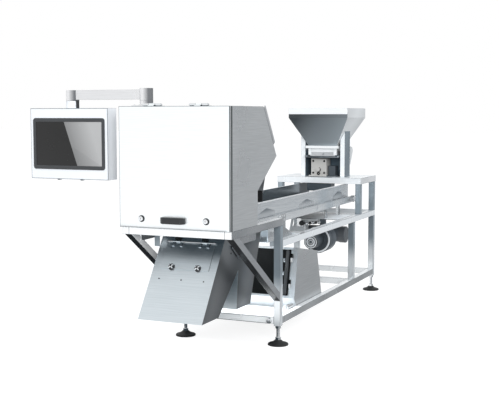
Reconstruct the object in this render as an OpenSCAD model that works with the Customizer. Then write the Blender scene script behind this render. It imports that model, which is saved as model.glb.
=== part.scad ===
// Optical colour sorter with a belt: tube frame, inspection cabinet, belt, feeder, hopper and display.
// Machine axes: X across from the centre plane, Y from the door to the hopper, Z up from the floor.

/* [Frame] */
// Outer width over the legs, the door and the cabinet
frame_w = 640; // [600:10:720]
// Side of the square tube
tube = 40; // [36:1:44]
// Wall of the square tube
tube_wall = 2.5; // [1.5:0.5:4]
// Front face of the front legs
leg_y = 690; // [680:5:720]
// Rear face of the rear legs
frame_end = 2629; // [2620:1:2680]
// Underside of the legs above the floor
leg_foot = 112; // [100:1:120]
// Underside of the bottom rails
low_rail_z = 124; // [122:1:130]
// Top of the middle rails
mid_rail_top = 611; // [600:1:620]
// Underside of the beams that carry the cabinet
beam_z = 695; // [693:1:700]
// Front face of the front beam
beam_front = 24; // [15:1:30]
// Front face of the centre posts
post_y = 2090; // [2000:5:2100]
// Where the braces meet the beams
brace_top_y = 79; // [70:1:120]
// Height where the braces meet the legs
brace_foot_z = 284; // [260:1:320]
// Thickness of brackets and gussets
plate_t = 3; // [2:0.5:5]

/* [Feet] */
// Diameter of the foot pads
pad_d = 120; // [90:1:130]
// Height of the foot pads
pad_h = 30; // [26:1:36]
// Diameter of the levelling stems
stem_d = 20; // [16:1:24]

/* [Cabinet] */
// Thickness of the sheet
sheet = 2; // [1.5:0.25:2.5]
// Height of the top panel
cabinet_top = 1371; // [1340:1:1390]
// Front edge of the side panels
cabinet_front = 34; // [30:1:40]
// Rear edge of the top panel
top_end = 439; // [420:1:460]
// Rearmost point of the side panels
nose_y = 630; // [600:1:640]
// Height of the rearmost point
nose_z = 1097; // [1080:1:1120]
// Rear edge of the side panels at the belt inlet
throat_y = 360; // [340:1:380]
// Height of the belt inlet
throat_z = 919; // [900:1:930]
// Thickness of the rear hatch
hatch_t = 10; // [6:1:14]
// Length of the rear hatch down the slope
hatch_len = 246; // [200:1:260]

/* [Door] */
// Gap under the door
door_gap = 1; // [0.5:0.5:3]
// Depth of the folded door
door_d = 26; // [20:1:28]
// Distance of each top hinge from the centre
hinge_x = 135; // [120:1:160]
// Width of a top hinge
hinge_w = 104; // [80:1:110]
// Distance of each lock from the centre
lock_x = 188; // [150:1:220]
// Height of the locks
lock_z = 785; // [775:1:800]
// Diameter of a lock's round head
lock_d = 26; // [20:1:30]
// Width of the pull handle
handle_w = 138; // [110:1:160]
// Height of the pull handle
handle_h = 34; // [28:1:40]
// Reach of the pull handle
handle_d = 30; // [24:1:36]

/* [Display arm] */
// Distance of the fixed post left of the centre
arm_x = 215; // [205:1:230]
// Distance of the arm behind the door face
arm_y = 110; // [109:1:130]
// Reach of the arm between its two posts
arm_reach = 463; // [440:1:500]
// Diameter of the posts
post_d = 72; // [62:1:74]
// Height of the arm's bar above the top panel
arm_rise = 89; // [84:1:109]
// Height of the arm's bar
arm_bar_h = 52; // [40:1:54]
// Depth of the arm's bar
arm_bar_d = 34; // [30:1:50]
// Width of the display housing
monitor_w = 499; // [480:1:510]
// Height of the display housing
monitor_h = 388; // [340:1:400]
// Depth of the display housing
monitor_d = 90; // [80:1:110]
// Width of the dark display frame
bezel_w = 462; // [450:1:470]
// Height of the dark display frame
bezel_h = 281; // [270:1:300]
// Width of the visible screen
screen_w = 424; // [400:1:430]
// Height of the visible screen
screen_h = 239; // [220:1:245]

/* [Chute] */
// Outer width of the chute
chute_w = 374; // [360:1:376]
// Height of the two outlets
chute_z = 260; // [240:1:280]
// Lowest front edge of the chute
chute_front = -53; // [-60:1:-40]
// Slope of the front wall from the floor
chute_slope = 55.3; // [54:0.1:57]
// Rear edge of the front outlet
outlet_rear = 145; // [130:1:150]
// Where the two legs part
apex_y = 398; // [390:1:405]
// Height where the two legs part
apex_z = 476; // [460:1:485]
// Front edge of the rear outlet
reject_front = 376; // [365:1:385]
// Rear edge of the rear outlet
reject_rear = 565; // [550:1:570]
// Slope of the rear wall from the floor
reject_slope = 68.6; // [67.5:0.1:70]
// Width of the inspection hatch
panel_w = 286; // [260:1:290]
// Lower edge of the inspection hatch along the wall
panel_s0 = 300; // [295:1:310]
// Upper edge of the inspection hatch along the wall
panel_s1 = 455; // [450:1:458]
// Distance of each hatch knob from the centre
knob_x = 78; // [60:1:100]

/* [Conveyor] */
// Width of the belt
belt_w = 310; // [280:1:314]
// Thickness of the belt
belt_t = 3; // [2:0.5:3]
// Height of the belt's upper face
belt_z = 738; // [736:1:740]
// Diameter of the rollers
roller_d = 56; // [54:1:56]
// Axis of the head roller
head_y = 540; // [535:1:560]
// Axis of the tail roller
tail_y = 2440; // [2430:1:2445]
// Diameter of the roller shafts
shaft_d = 20; // [16:1:22]
// Width over the belt's side frames
conveyor_w = 380; // [378:1:390]
// Underside of the side frames
conveyor_z = 678; // [677:1:680]
// Top of the side frames
ledge_z = 722; // [720:1:724]
// Top of the side guards
guard_z = 818; // [800:1:820]
// Rear end of the side guards
guard_end = 2290; // [2280:1:2300]

/* [Feeder] */
// Height of the feeder table
table_z = 871; // [868:1:880]
// Front edge of the table's front posts
table_front = 2249; // [2245:1:2255]
// Overhang of the table past the frame
table_lip = 3; // [2:0.5:5]
// Depth of the table's folded edge
table_edge = 43; // [36:1:46]
// Underside of the feeder tray
tray_z = 1012; // [1011:1:1015]
// Width of the feeder tray
tray_w = 250; // [240:1:256]
// Width of the vibrator block
vibrator_w = 118; // [110:1:124]

/* [Hopper] */
// Width of the hopper mouth
mouth_w = 450; // [400:1:460]
// Length of the hopper mouth
mouth_l = 442; // [400:1:446]
// Middle of the hopper along the machine
hopper_y = 2445; // [2440:1:2450]
// Top of the hopper
hopper_top = 1373; // [1360:1:1390]
// Height of the hopper's upright lip
lip_h = 70; // [60:1:80]
// Top of the hopper's flange
flange_z = 1098; // [1095:1:1105]
// Width of the hopper's neck
neck_w = 210; // [200:1:214]
// Height of the neck under the flange
neck_h = 68; // [64:1:68]

/* [Control box and blower] */
// Gap between the control box and the rails beside it
box_side_gap = 2; // [1:1:30]
// Front foot of the control box
box_y = 1026; // [1020:1:1040]
// Height where the box's sloping front starts
box_z = 212; // [205:1:220]
// Length of the box's sloping front
box_front = 310; // [300:1:315]
// Lean of the box's sloping front
box_lean = 13; // [11:0.5:14]
// Distance of the blower from the centre
blower_x = 169; // [160:1:170]
// Height of the blower's axis
blower_z = 480; // [470:1:490]
// Diameter of the blower's casing
blower_d = 184; // [170:1:190]
// Front of the shelf over the blower
shelf_y = 1857; // [1850:1:1862]

/* [Hidden] */
// Radial clearance of a turning pin
pin_fit = 0.05;
// Gap between pieces that move past each other
run_gap = 0.5;
// Gap left where one tube is butted against another
butt_gap = 0.2;
half_w = frame_w / 2;
tube_x = half_w - tube;
cross_x = tube_x - butt_gap;
rear_y = frame_end - tube;
mid_z = mid_rail_top - tube;
leg_back = leg_y + tube;
beam_top = beam_z + tube;
leg_x = half_w - tube / 2;
end_plate = 4;
hidden_w = half_w - sheet;

door_z0 = beam_top + door_gap;
door_hinge_y = cabinet_front - 4;
door_hinge_r = 7;
door_hinge_z = cabinet_top + door_hinge_r + 1;
door_pin_r = 4;
seal_w = 18;

slope_len = norm([nose_y - top_end, cabinet_top - nose_z]);
slope_turn = -atan2(cabinet_top - nose_z, nose_y - top_end);
under_len = norm([nose_y - throat_y, nose_z - throat_z]);
under_turn = 180 + atan2(nose_z - throat_z, nose_y - throat_y);
hatch_hinge_s = 8;
hatch_hinge_n = 8;
hatch_pin_r = 3;
hatch_gap = 2;
shroud_top_y = 531;
shroud_top_z = throat_z + (shroud_top_y - throat_y) * (nose_z - throat_z) / (nose_y - throat_y);
shroud_foot_y = 478;
shroud_foot_z = 900;

pivot_r = 20;
pivot_h = 50;
arm_gap = 0.4;
arm_foot = 6;
arm_base_w = 138;
arm_base_d = 76;
arm_top = cabinet_top + arm_rise;
collar_z = arm_top - arm_bar_h - 6;
monitor_x = -arm_x - arm_reach;
monitor_top = cabinet_top - 9;
monitor_y = arm_y - monitor_d / 2;
monitor_mid_z = monitor_top - monitor_h / 2;

chute_in = chute_w / 2 - sheet;
chute_top = beam_z - 5;
chute_low_top = conveyor_z - 16;
front_top_y = chute_front + (chute_top - chute_z) / tan(chute_slope);
rear_top_y = reject_rear + (chute_low_top - chute_z) / tan(reject_slope);
panel_hinge_s = panel_s1 + 8;
panel_hinge_n = 6;
panel_t = 3;
panel_knob_s = panel_s0 + 12;
knob_shaft_r = 5;
split_y = apex_y - 4;
split_z = apex_z + 79;
split_r = 8;
split_len = 96;
split_turn = 143;

roller_z = belt_z - belt_t - roller_d / 2;
frame_x = conveyor_w / 2;
frame_wall = 3;
guard_x = frame_x - 25;
frame_y0 = head_y - 40;
frame_y1 = tail_y + 36;
bed_gap = 0.5;
bearing_t = 22;
roller_len = belt_w + 6;
pulley_r = 30;
pulley_x0 = frame_x + bearing_t + 4;
pulley_w = 20;
motor_y = table_front + 51;
motor_z = 453;
motor_r = 55;
gearbox_half = 46;
timing_t = 4;

table_x = half_w + table_lip;
table_y0 = table_front - table_lip;
table_y1 = frame_end + table_lip;
table_t = 3;
drop_w = 180;
drop_y0 = table_front + 13;
drop_y1 = table_front + 96;
drop_z = guard_z - 48;
vibrator_x = -34;
vibrator_y = table_front + 101;
vibrator_d = 94;
base_t = 8;
tray_y0 = drop_y0 + 38;
tray_y1 = hopper_y + neck_w / 2 + 14;
tray_wall_h = 15;
spring_angle = 20;

lip_z = hopper_top - lip_h;
neck_z = flange_z - neck_h;
flange_t = 19;
flange_w = neck_w + 44;
neck_front = hopper_y - neck_w / 2;
gate_y = neck_front - 4;
gate_h = 30;
gate_w = neck_w - 16;
gate_z = tray_z + sheet + 8;
hopper_post_x0 = flange_w / 2 + 8;
hopper_post_w = 35;
hopper_post_y0 = hopper_y - 105;
hopper_post_d = 125;

box_half = tube_x - box_side_gap;
pan_t = 4;
box_floor = low_rail_z + 18;
box_top_y = box_y + box_front * sin(box_lean);
box_top_z = box_z + box_front * cos(box_lean);
box_top_len = 344;
box_top_fall = 60;
box_len = 509;
box_chin = 45;
box_hinge_in = 36;
box_back_top = box_top_y + box_top_len;
box_back_z = box_top_z - box_top_fall;
box_back_foot = box_y + box_len;
box_chin_y = box_y + box_chin;
box_hinge_x = box_half - box_hinge_in;
box_hinge_n = 7;
box_door_t = 10;
box_door_x0 = -box_half + 76;
blower_y0 = shelf_y - 42;
blower_y1 = shelf_y + 28;
blower_r = blower_d / 2;
motor_len = 190;
shelf_t = 4;

// The model stands with the middle of its outer box on the origin
x_low = monitor_x - monitor_w / 2;
x_high = leg_x + pad_d / 2;
y_high = rear_y + tube / 2 + pad_d / 2;
middle_x = (x_low + x_high) / 2;
middle_y = (chute_front + y_high) / 2;

steel = "#c9ccce";
steel_dark = "#8d9296";
black = "#1d1f21";
rubber = "#26282a";
white = "#f2f4f5";

// Shapes that repeat

module machine() {
    translate([-middle_x, -middle_y, 0]) children();
}

module block(lo, hi) {
    translate(lo) cube(hi - lo);
}

module both_sides() {
    children();
    mirror([1, 0, 0]) children();
}

module rod_x(x0, x1, y, z, r) {
    translate([x0, y, z]) rotate([0, 90, 0]) cylinder(h = x1 - x0, r = r, $fn = 48);
}

module rod_y(y0, y1, x, z, r) {
    translate([x, y0, z]) rotate([-90, 0, 0]) cylinder(h = y1 - y0, r = r, $fn = 48);
}

module rod_z(z0, z1, x, y, r) {
    translate([x, y, z0]) cylinder(h = z1 - z0, r = r, $fn = 48);
}

// A flat outline of [y, z] points, thick along X
module plate_yz(points, x0, x1) {
    translate([x0, 0, 0]) rotate([90, 0, 90]) linear_extrude(x1 - x0) polygon(points);
}

// A rolled section of [x, z] points, long along Y
module section_xz(points, y0, y1) {
    translate([0, y1, 0]) rotate([90, 0, 0]) linear_extrude(y1 - y0) polygon(points);
}

// Square tube between two corners; blind closes its low end
module square_tube(lo, hi, axis, blind = 0) {
    inner_lo = [for (i = [0:2]) i == axis ? (blind > 0 ? lo[i] + blind : lo[i] - 1) : lo[i] + tube_wall];
    inner_hi = [for (i = [0:2]) i == axis ? hi[i] + 1 : hi[i] - tube_wall];
    difference() {
        block(lo, hi);
        block(inner_lo, inner_hi);
    }
}

// A strip of sheet in the [y, z] plane from p to q, its thickness on the left of the walk
function strip(p, q, t) =
    let (d = (q - p) / norm(q - p), n = [-d[1], d[0]])
    [p, q, q + t * n, p + t * n];

// Width, measured level, of a leaning wall of thickness t between two [y, z] points
function level_wall(p, q, t) = t * norm(q - p) / abs(q[1] - p[1]);

// A leaning wall cut off level at both ends, its thickness towards +Y when t is positive
function leaning_wall(p, q, t) =
    let (w = level_wall(p, q, t))
    [p, p + [w, 0], q + [w, 0], q];

// Frame

module frame_posts() {
    color(steel) machine() both_sides() {
        square_tube([tube_x, leg_y, leg_foot], [half_w, leg_back, beam_z], 2, end_plate);
        square_tube([tube_x, rear_y, leg_foot], [half_w, frame_end, mid_z], 2, end_plate);
        square_tube([tube_x, post_y, low_rail_z + tube], [half_w, post_y + tube, mid_z], 2);
        square_tube([tube_x, table_front, mid_rail_top], [half_w, table_front + tube, table_z - table_t], 2);
        square_tube([tube_x, rear_y, mid_rail_top], [half_w, frame_end, table_z - table_t], 2);
    }
}

module frame_rails() {
    color(steel) machine() {
        both_sides() {
            square_tube([tube_x, leg_back, low_rail_z], [half_w, rear_y, low_rail_z + tube], 1);
            square_tube([tube_x, leg_back, mid_z], [half_w, frame_end, mid_rail_top], 1);
        }
        for (y = [leg_y, post_y, rear_y])
            square_tube([-cross_x, y, low_rail_z], [cross_x, y + tube, low_rail_z + tube], 0);
        for (y = [table_front, rear_y])
            square_tube([-cross_x, y, mid_z], [cross_x, y + tube, mid_rail_top], 0);
    }
}

module cabinet_beams() {
    color(steel) machine() {
        both_sides()
            square_tube([tube_x, beam_front, beam_z], [half_w, leg_back, beam_top], 1, tube_wall);
        square_tube([-cross_x, beam_front, beam_z], [cross_x, beam_front + tube, beam_top], 0);
    }
}

// Outline of a brace of the given depth, run on past both ends by the given length
function brace_outline(depth, past) =
    let (
        turn = atan2(beam_z - brace_foot_z, leg_y - brace_top_y),
        half_top = depth / 2 / sin(turn),
        half_foot = depth / 2 / cos(turn),
        run = past / tan(turn),
        drop = past * tan(turn)
    )
    [
        [brace_top_y - half_top - run, beam_z + past],
        [brace_top_y + half_top - run, beam_z + past],
        [leg_y + past, brace_foot_z + half_foot - drop],
        [leg_y + past, brace_foot_z - half_foot - drop]
    ];

module diagonal_braces() {
    color(steel) machine() both_sides() difference() {
        plate_yz(brace_outline(tube, 0), tube_x, half_w);
        plate_yz(brace_outline(tube - 2 * tube_wall, 1), tube_x + tube_wall, half_w - tube_wall);
    }
}

module feeder_table() {
    color(white) machine() difference() {
        block([-table_x, table_y0, table_z - table_edge], [table_x, table_y1, table_z]);
        block(
            [-table_x + sheet, table_y0 + sheet, table_z - table_edge - 1],
            [table_x - sheet, table_y1 - sheet, table_z - table_t]
        );
        block([-drop_w / 2, drop_y0, table_z - table_edge], [drop_w / 2, drop_y1, table_z + 1]);
    }
}

gusset_len = 270;
gusset_top = beam_z + 25;
skirt_y0 = 150;
skirt_y1 = 430;
skirt_z = beam_z - 50;
skirt_top = beam_z + tube / 2;

module frame_plates() {
    color(steel) machine() both_sides() {
        plate_yz(
            [[leg_back, mid_rail_top], [leg_back + gusset_len, mid_rail_top], [leg_back, gusset_top]],
            tube_x, tube_x + plate_t
        );
        block([tube_x - plate_t, skirt_y0, skirt_z], [tube_x, skirt_y1, skirt_top]);
        block([chute_w / 2 + run_gap, skirt_y0, chute_top], [tube_x - plate_t, skirt_y1, beam_z]);
    }
}

pan_end = box_back_foot + 60;
shelf_end = 2190;

module floor_plates() {
    color(white) machine() {
        block([-tube_x, shelf_y, mid_rail_top - shelf_t], [tube_x, shelf_end, mid_rail_top]);
        block([-tube_x, leg_back, box_floor - pan_t], [tube_x, pan_end, box_floor]);
    }
}

pad_rim = 8;
// Shares of the way in and up along the flared skirt of a pad
pad_steps = [[0, 0], [0.08, 0.12], [0.5, 0.36], [0.82, 0.66], [1, 1]];
stem_nut_r = stem_d * 0.86;
stem_nut_h = 15;
pad_neck_r = stem_nut_r + 2;

module at_feet() {
    for (x = [-leg_x, leg_x], y = [leg_y + tube / 2, rear_y + tube / 2])
        translate([x, y, 0]) children();
}

module foot_pads() {
    flare = pad_d / 2 - pad_neck_r;
    skirt = [for (t = pad_steps) [pad_d / 2 - flare * t[0], pad_rim + (pad_h - pad_rim) * t[1]]];
    color(rubber) machine() at_feet()
        rotate_extrude($fn = 64) polygon(concat([[0, 0], [pad_d / 2, 0]], skirt, [[0, pad_h]]));
}

module foot_stems() {
    color(steel) machine() at_feet() {
        translate([0, 0, pad_h]) cylinder(h = stem_nut_h, r = stem_nut_r, $fn = 6);
        translate([0, 0, pad_h]) cylinder(h = leg_foot - pad_h, d = stem_d, $fn = 48);
        translate([0, 0, leg_foot - stem_nut_h]) cylinder(h = stem_nut_h, r = stem_nut_r, $fn = 6);
    }
}

// Cabinet

panel_outline = [
    [cabinet_front, beam_top], [throat_y, beam_top], [throat_y, throat_z],
    [nose_y, nose_z], [top_end, cabinet_top], [cabinet_front, cabinet_top]
];
front_fold = 25;

module side_panels() {
    color(steel) machine() both_sides() {
        plate_yz(panel_outline, hidden_w, half_w);
        block(
            [hidden_w - front_fold, cabinet_front, beam_top],
            [hidden_w, cabinet_front + sheet, cabinet_top - sheet]
        );
    }
}

module top_panel() {
    color(white) machine() {
        block([-hidden_w, cabinet_front, cabinet_top - sheet], [hidden_w, top_end, cabinet_top]);
        block(
            [-hidden_w + front_fold, cabinet_front, cabinet_top - sheet - front_fold],
            [hidden_w - front_fold, cabinet_front + sheet, cabinet_top - sheet]
        );
    }
}

// Places a piece on the rear slope: Y runs down the slope, Z stands out of it
module on_slope() {
    translate([0, top_end, cabinet_top]) rotate([slope_turn, 0, 0]) children();
}

// Places a piece on the sloping underside: Y runs from the nose to the inlet
module on_underside() {
    translate([0, nose_y, nose_z]) rotate([under_turn, 0, 0]) children();
}

hatch_window_x = 230;
hatch_window_s = 45;
view_window_x = 170;
hatch_knuckle_x = 160;
hatch_knuckle_w = 36;
hatch_knuckle_r = 6;
shroud_x = hidden_w - 18;

module rear_panel() {
    color(steel) machine() {
        difference() {
            on_slope() block([-hidden_w, sheet, -sheet], [hidden_w, slope_len, 0]);
            on_slope() block(
                [-hatch_window_x, hatch_window_s, -sheet - 1],
                [hatch_window_x, hatch_len - 20, 1]
            );
        }
        difference() {
            on_underside() block([-hidden_w, sheet, -sheet], [hidden_w, under_len, 0]);
            on_underside() block(
                [-view_window_x, under_len * 0.5, -sheet - 1],
                [view_window_x, under_len * 0.9, 1]
            );
        }
        plate_yz(
            strip([shroud_foot_y, shroud_foot_z], [shroud_top_y, shroud_top_z], sheet),
            -shroud_x, shroud_x
        );
        both_sides() on_slope() {
            block(
                [hatch_knuckle_x + run_gap, hatch_hinge_s - hatch_knuckle_r, -sheet / 2],
                [hatch_knuckle_x + hatch_knuckle_w, hatch_hinge_s + hatch_knuckle_r, hatch_hinge_n]
            );
            rod_x(
                hatch_knuckle_x + run_gap, hatch_knuckle_x + hatch_knuckle_w,
                hatch_hinge_s, hatch_hinge_n, hatch_knuckle_r
            );
            rod_x(
                hatch_knuckle_x - hatch_knuckle_w, hatch_knuckle_x + hatch_knuckle_w,
                hatch_hinge_s, hatch_hinge_n, hatch_pin_r
            );
        }
    }
}

curtain_drop = 50;
curtain_lap = 12;
curtain_t = 3;

module inlet_curtain() {
    color(rubber) machine()
        block(
            [-shroud_x, shroud_foot_y - sheet - curtain_t, shroud_foot_z - curtain_drop],
            [shroud_x, shroud_foot_y - sheet, shroud_foot_z + curtain_lap]
        );
}

camera_y = 230;
camera_z = 1210;
camera_lean = 28;
camera_rail = 30;

module camera_unit() {
    color(black) machine() {
        block([-hidden_w, camera_y, camera_z], [hidden_w, camera_y + camera_rail, camera_z + camera_rail]);
        translate([0, camera_y + camera_rail / 2, camera_z]) rotate([camera_lean, 0, 0]) {
            block([-45, -40, -110], [45, 40, -camera_rail]);
            rod_z(-170, -110, 0, 0, 28);
            block([-25, -12, -camera_rail - 1], [25, 12, 0]);
        }
    }
}

led_at = [[200, 905], [420, 1020]];
led_size = 34;

module led_bars() {
    color(white) machine() for (p = led_at)
        block(
            [-hidden_w, p[0] - led_size / 2, p[1] - led_size / 2],
            [hidden_w, p[0] + led_size / 2, p[1] + led_size / 2]
        );
}

ejector_y0 = 440;
ejector_y1 = 490;
ejector_z0 = chute_low_top - 52;
ejector_count = 12;

module ejector_bank() {
    pitch = 2 * (chute_in - 20) / ejector_count;
    color(steel_dark) machine() {
        block([-chute_in, ejector_y0, ejector_z0], [chute_in, ejector_y1, ejector_z0 + 40]);
        for (i = [0:ejector_count - 1])
            rod_y(ejector_y0 - 12, ejector_y0, -chute_in + 20 + pitch * (i + 0.5), ejector_z0 + 28, 4);
    }
}

lower_box_y0 = 860;
lower_box_y1 = 970;
lower_box_drop = 108;
lower_box_rise = 30;
lower_box_inset = 20;
lower_box_z0 = conveyor_z - lower_box_drop;
lower_box_top = conveyor_z - lower_box_rise;
lower_box_x = frame_x - lower_box_inset;

module lower_camera_box() {
    color(steel) machine() {
        difference() {
            block([-lower_box_x, lower_box_y0, lower_box_z0], [lower_box_x, lower_box_y1, lower_box_top]);
            block(
                [-lower_box_x + 2 * sheet, lower_box_y0 - 1, lower_box_z0 + 2 * sheet],
                [lower_box_x - 2 * sheet, lower_box_y1 - sheet, lower_box_top - sheet]
            );
        }
        both_sides()
            block([lower_box_x, lower_box_y0, lower_box_z0], [lower_box_x + 4, lower_box_y1, conveyor_z]);
    }
}

// Chute with two legs

// Places a piece on the front wall: Y runs up the wall, Z stands out of it
module on_front_wall() {
    translate([0, chute_front, chute_z]) rotate([chute_slope, 0, 0]) children();
}

chute_outline = [
    [chute_front, chute_z], [outlet_rear, chute_z], [apex_y, apex_z], [reject_front, chute_z],
    [reject_rear, chute_z], [rear_top_y, chute_low_top], [frame_y0, chute_low_top],
    [frame_y0 - 20, chute_top], [front_top_y, chute_top]
];
// The two inner walls that meet at the fork, with the upright divider on top of them
fork_slope = (apex_z - chute_z) / (apex_y - outlet_rear);
fork_front = level_wall([outlet_rear, chute_z], [apex_y, apex_z], sheet);
fork_rear = level_wall([reject_front, chute_z], [apex_y, apex_z], sheet);
fork_top = split_z - split_r - 4;
chute_fork = [
    [outlet_rear, chute_z], [apex_y, apex_z], [reject_front, chute_z], [reject_front + fork_rear, chute_z],
    [apex_y + fork_rear, apex_z], [apex_y + fork_rear, fork_top], [apex_y - sheet, fork_top],
    [apex_y - sheet, apex_z + (fork_front - sheet) * fork_slope], [outlet_rear - fork_front, chute_z]
];
panel_lap = 15;
chute_flange = 26;
flange_y0 = front_top_y + 16;
panel_knuckle_w = 30;
panel_knuckle_x = 80;
panel_pin_r = 3;
panel_knuckle_r = 6;

module chute_body() {
    color(steel_dark) machine() {
        difference() {
            union() {
                both_sides() {
                    plate_yz(chute_outline, chute_in, chute_w / 2);
                    block(
                        [chute_w / 2, flange_y0, chute_top - plate_t],
                        [chute_w / 2 + chute_flange, skirt_y1, chute_top]
                    );
                }
                plate_yz(
                    leaning_wall([chute_front, chute_z], [front_top_y, chute_top], sheet),
                    -chute_in, chute_in
                );
                plate_yz(chute_fork, -chute_in, chute_in);
                plate_yz(
                    leaning_wall([reject_rear, chute_z], [rear_top_y, chute_low_top], -sheet),
                    -chute_in, chute_in
                );
            }
            on_front_wall() block(
                [-panel_w / 2 + panel_lap, panel_s0 + panel_lap, -sheet - 1],
                [panel_w / 2 - panel_lap, panel_s1 - panel_lap, 1]
            );
            rod_x(-chute_w, chute_w, split_y, split_z, split_r + pin_fit);
        }
        on_front_wall() for (x = [-panel_knuckle_x, panel_knuckle_x]) translate([x, 0, 0]) {
            block(
                [-panel_knuckle_w / 2, panel_hinge_s - panel_knuckle_r, -sheet / 2],
                [panel_knuckle_w / 2, panel_hinge_s + panel_knuckle_r, panel_hinge_n]
            );
            rod_x(-panel_knuckle_w / 2, panel_knuckle_w / 2, panel_hinge_s, panel_hinge_n, panel_knuckle_r);
            rod_x(-panel_knuckle_w, panel_knuckle_w, panel_hinge_s, panel_hinge_n, panel_pin_r);
        }
    }
}

module chute_hatch() {
    color(steel_dark) machine() on_front_wall() difference() {
        union() {
            block([-panel_w / 2, panel_s0, run_gap], [panel_w / 2, panel_s1 - 2, run_gap + panel_t]);
            for (x = [-panel_knuckle_x, panel_knuckle_x], side = [-1, 1])
                translate([x + side * 0.79 * panel_knuckle_w, 0, 0]) {
                    rod_x(-7, 7, panel_hinge_s, panel_hinge_n, panel_knuckle_r - 1);
                    block([-7, panel_s1 - 20, run_gap], [7, panel_hinge_s, panel_hinge_n + 3]);
                }
        }
        rod_x(-panel_w, panel_w, panel_hinge_s, panel_hinge_n, panel_pin_r + pin_fit);
        for (x = [-knob_x, knob_x])
            rod_z(-1, panel_t + 2, x, panel_knob_s, knob_shaft_r + pin_fit);
    }
}

module hatch_knob(x) {
    color(black) machine() on_front_wall() translate([x, panel_knob_s, 0]) {
        rod_z(run_gap, panel_t + 4, 0, 0, knob_shaft_r);
        rod_z(panel_t + 2 * run_gap, panel_t + 12, 0, 0, 8);
        for (turn = [45, 135]) rotate([0, 0, turn])
            block([-16, -3.5, panel_t + 6], [16, 3.5, panel_t + 16]);
    }
}

module left_hatch_knob() {
    hatch_knob(-knob_x);
}

module right_hatch_knob() {
    hatch_knob(knob_x);
}

split_clear = 2;

module splitter() {
    color(steel) machine() {
        rod_x(-chute_w / 2 - 8, chute_w / 2 + 10, split_y, split_z, split_r);
        translate([0, split_y, split_z]) rotate([split_turn, 0, 0]) {
            block([-chute_in + split_clear, 0, -1.5], [chute_in - split_clear, split_len, 1.5]);
            block([chute_w / 2 + 4, -12, -9], [chute_w / 2 + 8, split_len + 8, 9]);
            translate([chute_w / 2 + 8, split_len, 0]) rotate([0, 90, 0]) cylinder(h = 22, r = 8, $fn = 48);
        }
    }
}

// Belt conveyor

frame_section = [
    [frame_x, conveyor_z], [frame_x, ledge_z], [guard_x - sheet, ledge_z],
    [guard_x - sheet, ledge_z - sheet], [frame_x - frame_wall, ledge_z - sheet],
    [frame_x - frame_wall, conveyor_z + sheet], [frame_x - 20, conveyor_z + sheet], [frame_x - 20, conveyor_z]
];
tie_y = [760, 1300, 1840];
tie_r = 8;

module conveyor_frames() {
    color(steel) machine() {
        both_sides() difference() {
            section_xz(frame_section, frame_y0, frame_y1);
            for (y = [head_y, tail_y])
                rod_x(frame_x - 2 * frame_wall, frame_x + 1, y, roller_z, shaft_d / 2 + 4);
        }
        for (y = tie_y)
            rod_x(-frame_x + frame_wall + butt_gap, frame_x - frame_wall - butt_gap, y, roller_z, tie_r);
    }
}

guard_foot = frame_x - guard_x - 4;
guard_hem = 5;
guard_section = [
    [guard_x - sheet, ledge_z], [guard_x + guard_foot, ledge_z], [guard_x + guard_foot, ledge_z + sheet],
    [guard_x, ledge_z + sheet], [guard_x, guard_z - sheet], [guard_x + guard_hem, guard_z - sheet],
    [guard_x + guard_hem, guard_z], [guard_x - sheet, guard_z]
];

module side_guards() {
    color(steel) machine() both_sides() section_xz(guard_section, frame_y0, guard_end);
}

bed_top = belt_z - belt_t - bed_gap;
bed_foot = 5;

module slider_bed() {
    x1 = guard_x - sheet;
    color(steel) machine() {
        section_xz(
            [
                [-x1, ledge_z], [-x1 + bed_foot, ledge_z], [-x1 + bed_foot, bed_top - belt_t],
                [x1 - bed_foot, bed_top - belt_t], [x1 - bed_foot, ledge_z], [x1, ledge_z],
                [x1, bed_top], [-x1, bed_top]
            ],
            head_y + roller_d, tail_y - roller_d
        );
    }
}

// A closed loop round two points of the [y, z] plane, thick along X
module loop_yz(p, q, r, x0, x1) {
    turn = atan2(q[1] - p[1], q[0] - p[0]);
    translate([x0, 0, 0]) rotate([90, 0, 90]) linear_extrude(x1 - x0)
        translate(p) rotate(turn) {
            circle(r = r, $fn = 64);
            translate([norm(q - p), 0]) circle(r = r, $fn = 64);
            translate([0, -r]) square([norm(q - p), 2 * r]);
        }
}

belt_gap = 0.2;

module conveyor_belt() {
    p = [head_y, roller_z];
    q = [tail_y, roller_z];
    color("#3d6a52") machine() difference() {
        loop_yz(p, q, roller_d / 2 + belt_gap + belt_t, -belt_w / 2, belt_w / 2);
        loop_yz(p, q, roller_d / 2 + belt_gap, -belt_w, belt_w);
    }
}

lobe_y = 34;

module roller_bearings() {
    color(steel_dark) machine() both_sides() for (y = [head_y, tail_y]) difference() {
        union() {
            rod_x(frame_x, frame_x + bearing_t, y, roller_z, 22);
            block([frame_x, y - lobe_y, roller_z - 12], [frame_x + 10, y + lobe_y, roller_z + 12]);
            for (side = [-1, 1]) {
                rod_x(frame_x, frame_x + 10, y + side * lobe_y, roller_z, 12);
                rod_x(frame_x, frame_x + 16, y + side * lobe_y, roller_z, 6);
            }
        }
        rod_x(frame_x - 1, frame_x + bearing_t + 1, y, roller_z, shaft_d / 2 + pin_fit);
    }
}

module head_roller() {
    color(steel) machine() {
        rod_x(-roller_len / 2, roller_len / 2, head_y, roller_z, roller_d / 2);
        rod_x(-frame_x - bearing_t - 3, frame_x + bearing_t + 3, head_y, roller_z, shaft_d / 2);
    }
}

module tail_roller() {
    color(steel) machine() {
        rod_x(-roller_len / 2, roller_len / 2, tail_y, roller_z, roller_d / 2);
        rod_x(-pulley_x0 - pulley_w, frame_x + bearing_t + 3, tail_y, roller_z, shaft_d / 2);
        rod_x(-pulley_x0 - pulley_w, -pulley_x0, tail_y, roller_z, pulley_r);
    }
}

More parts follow.
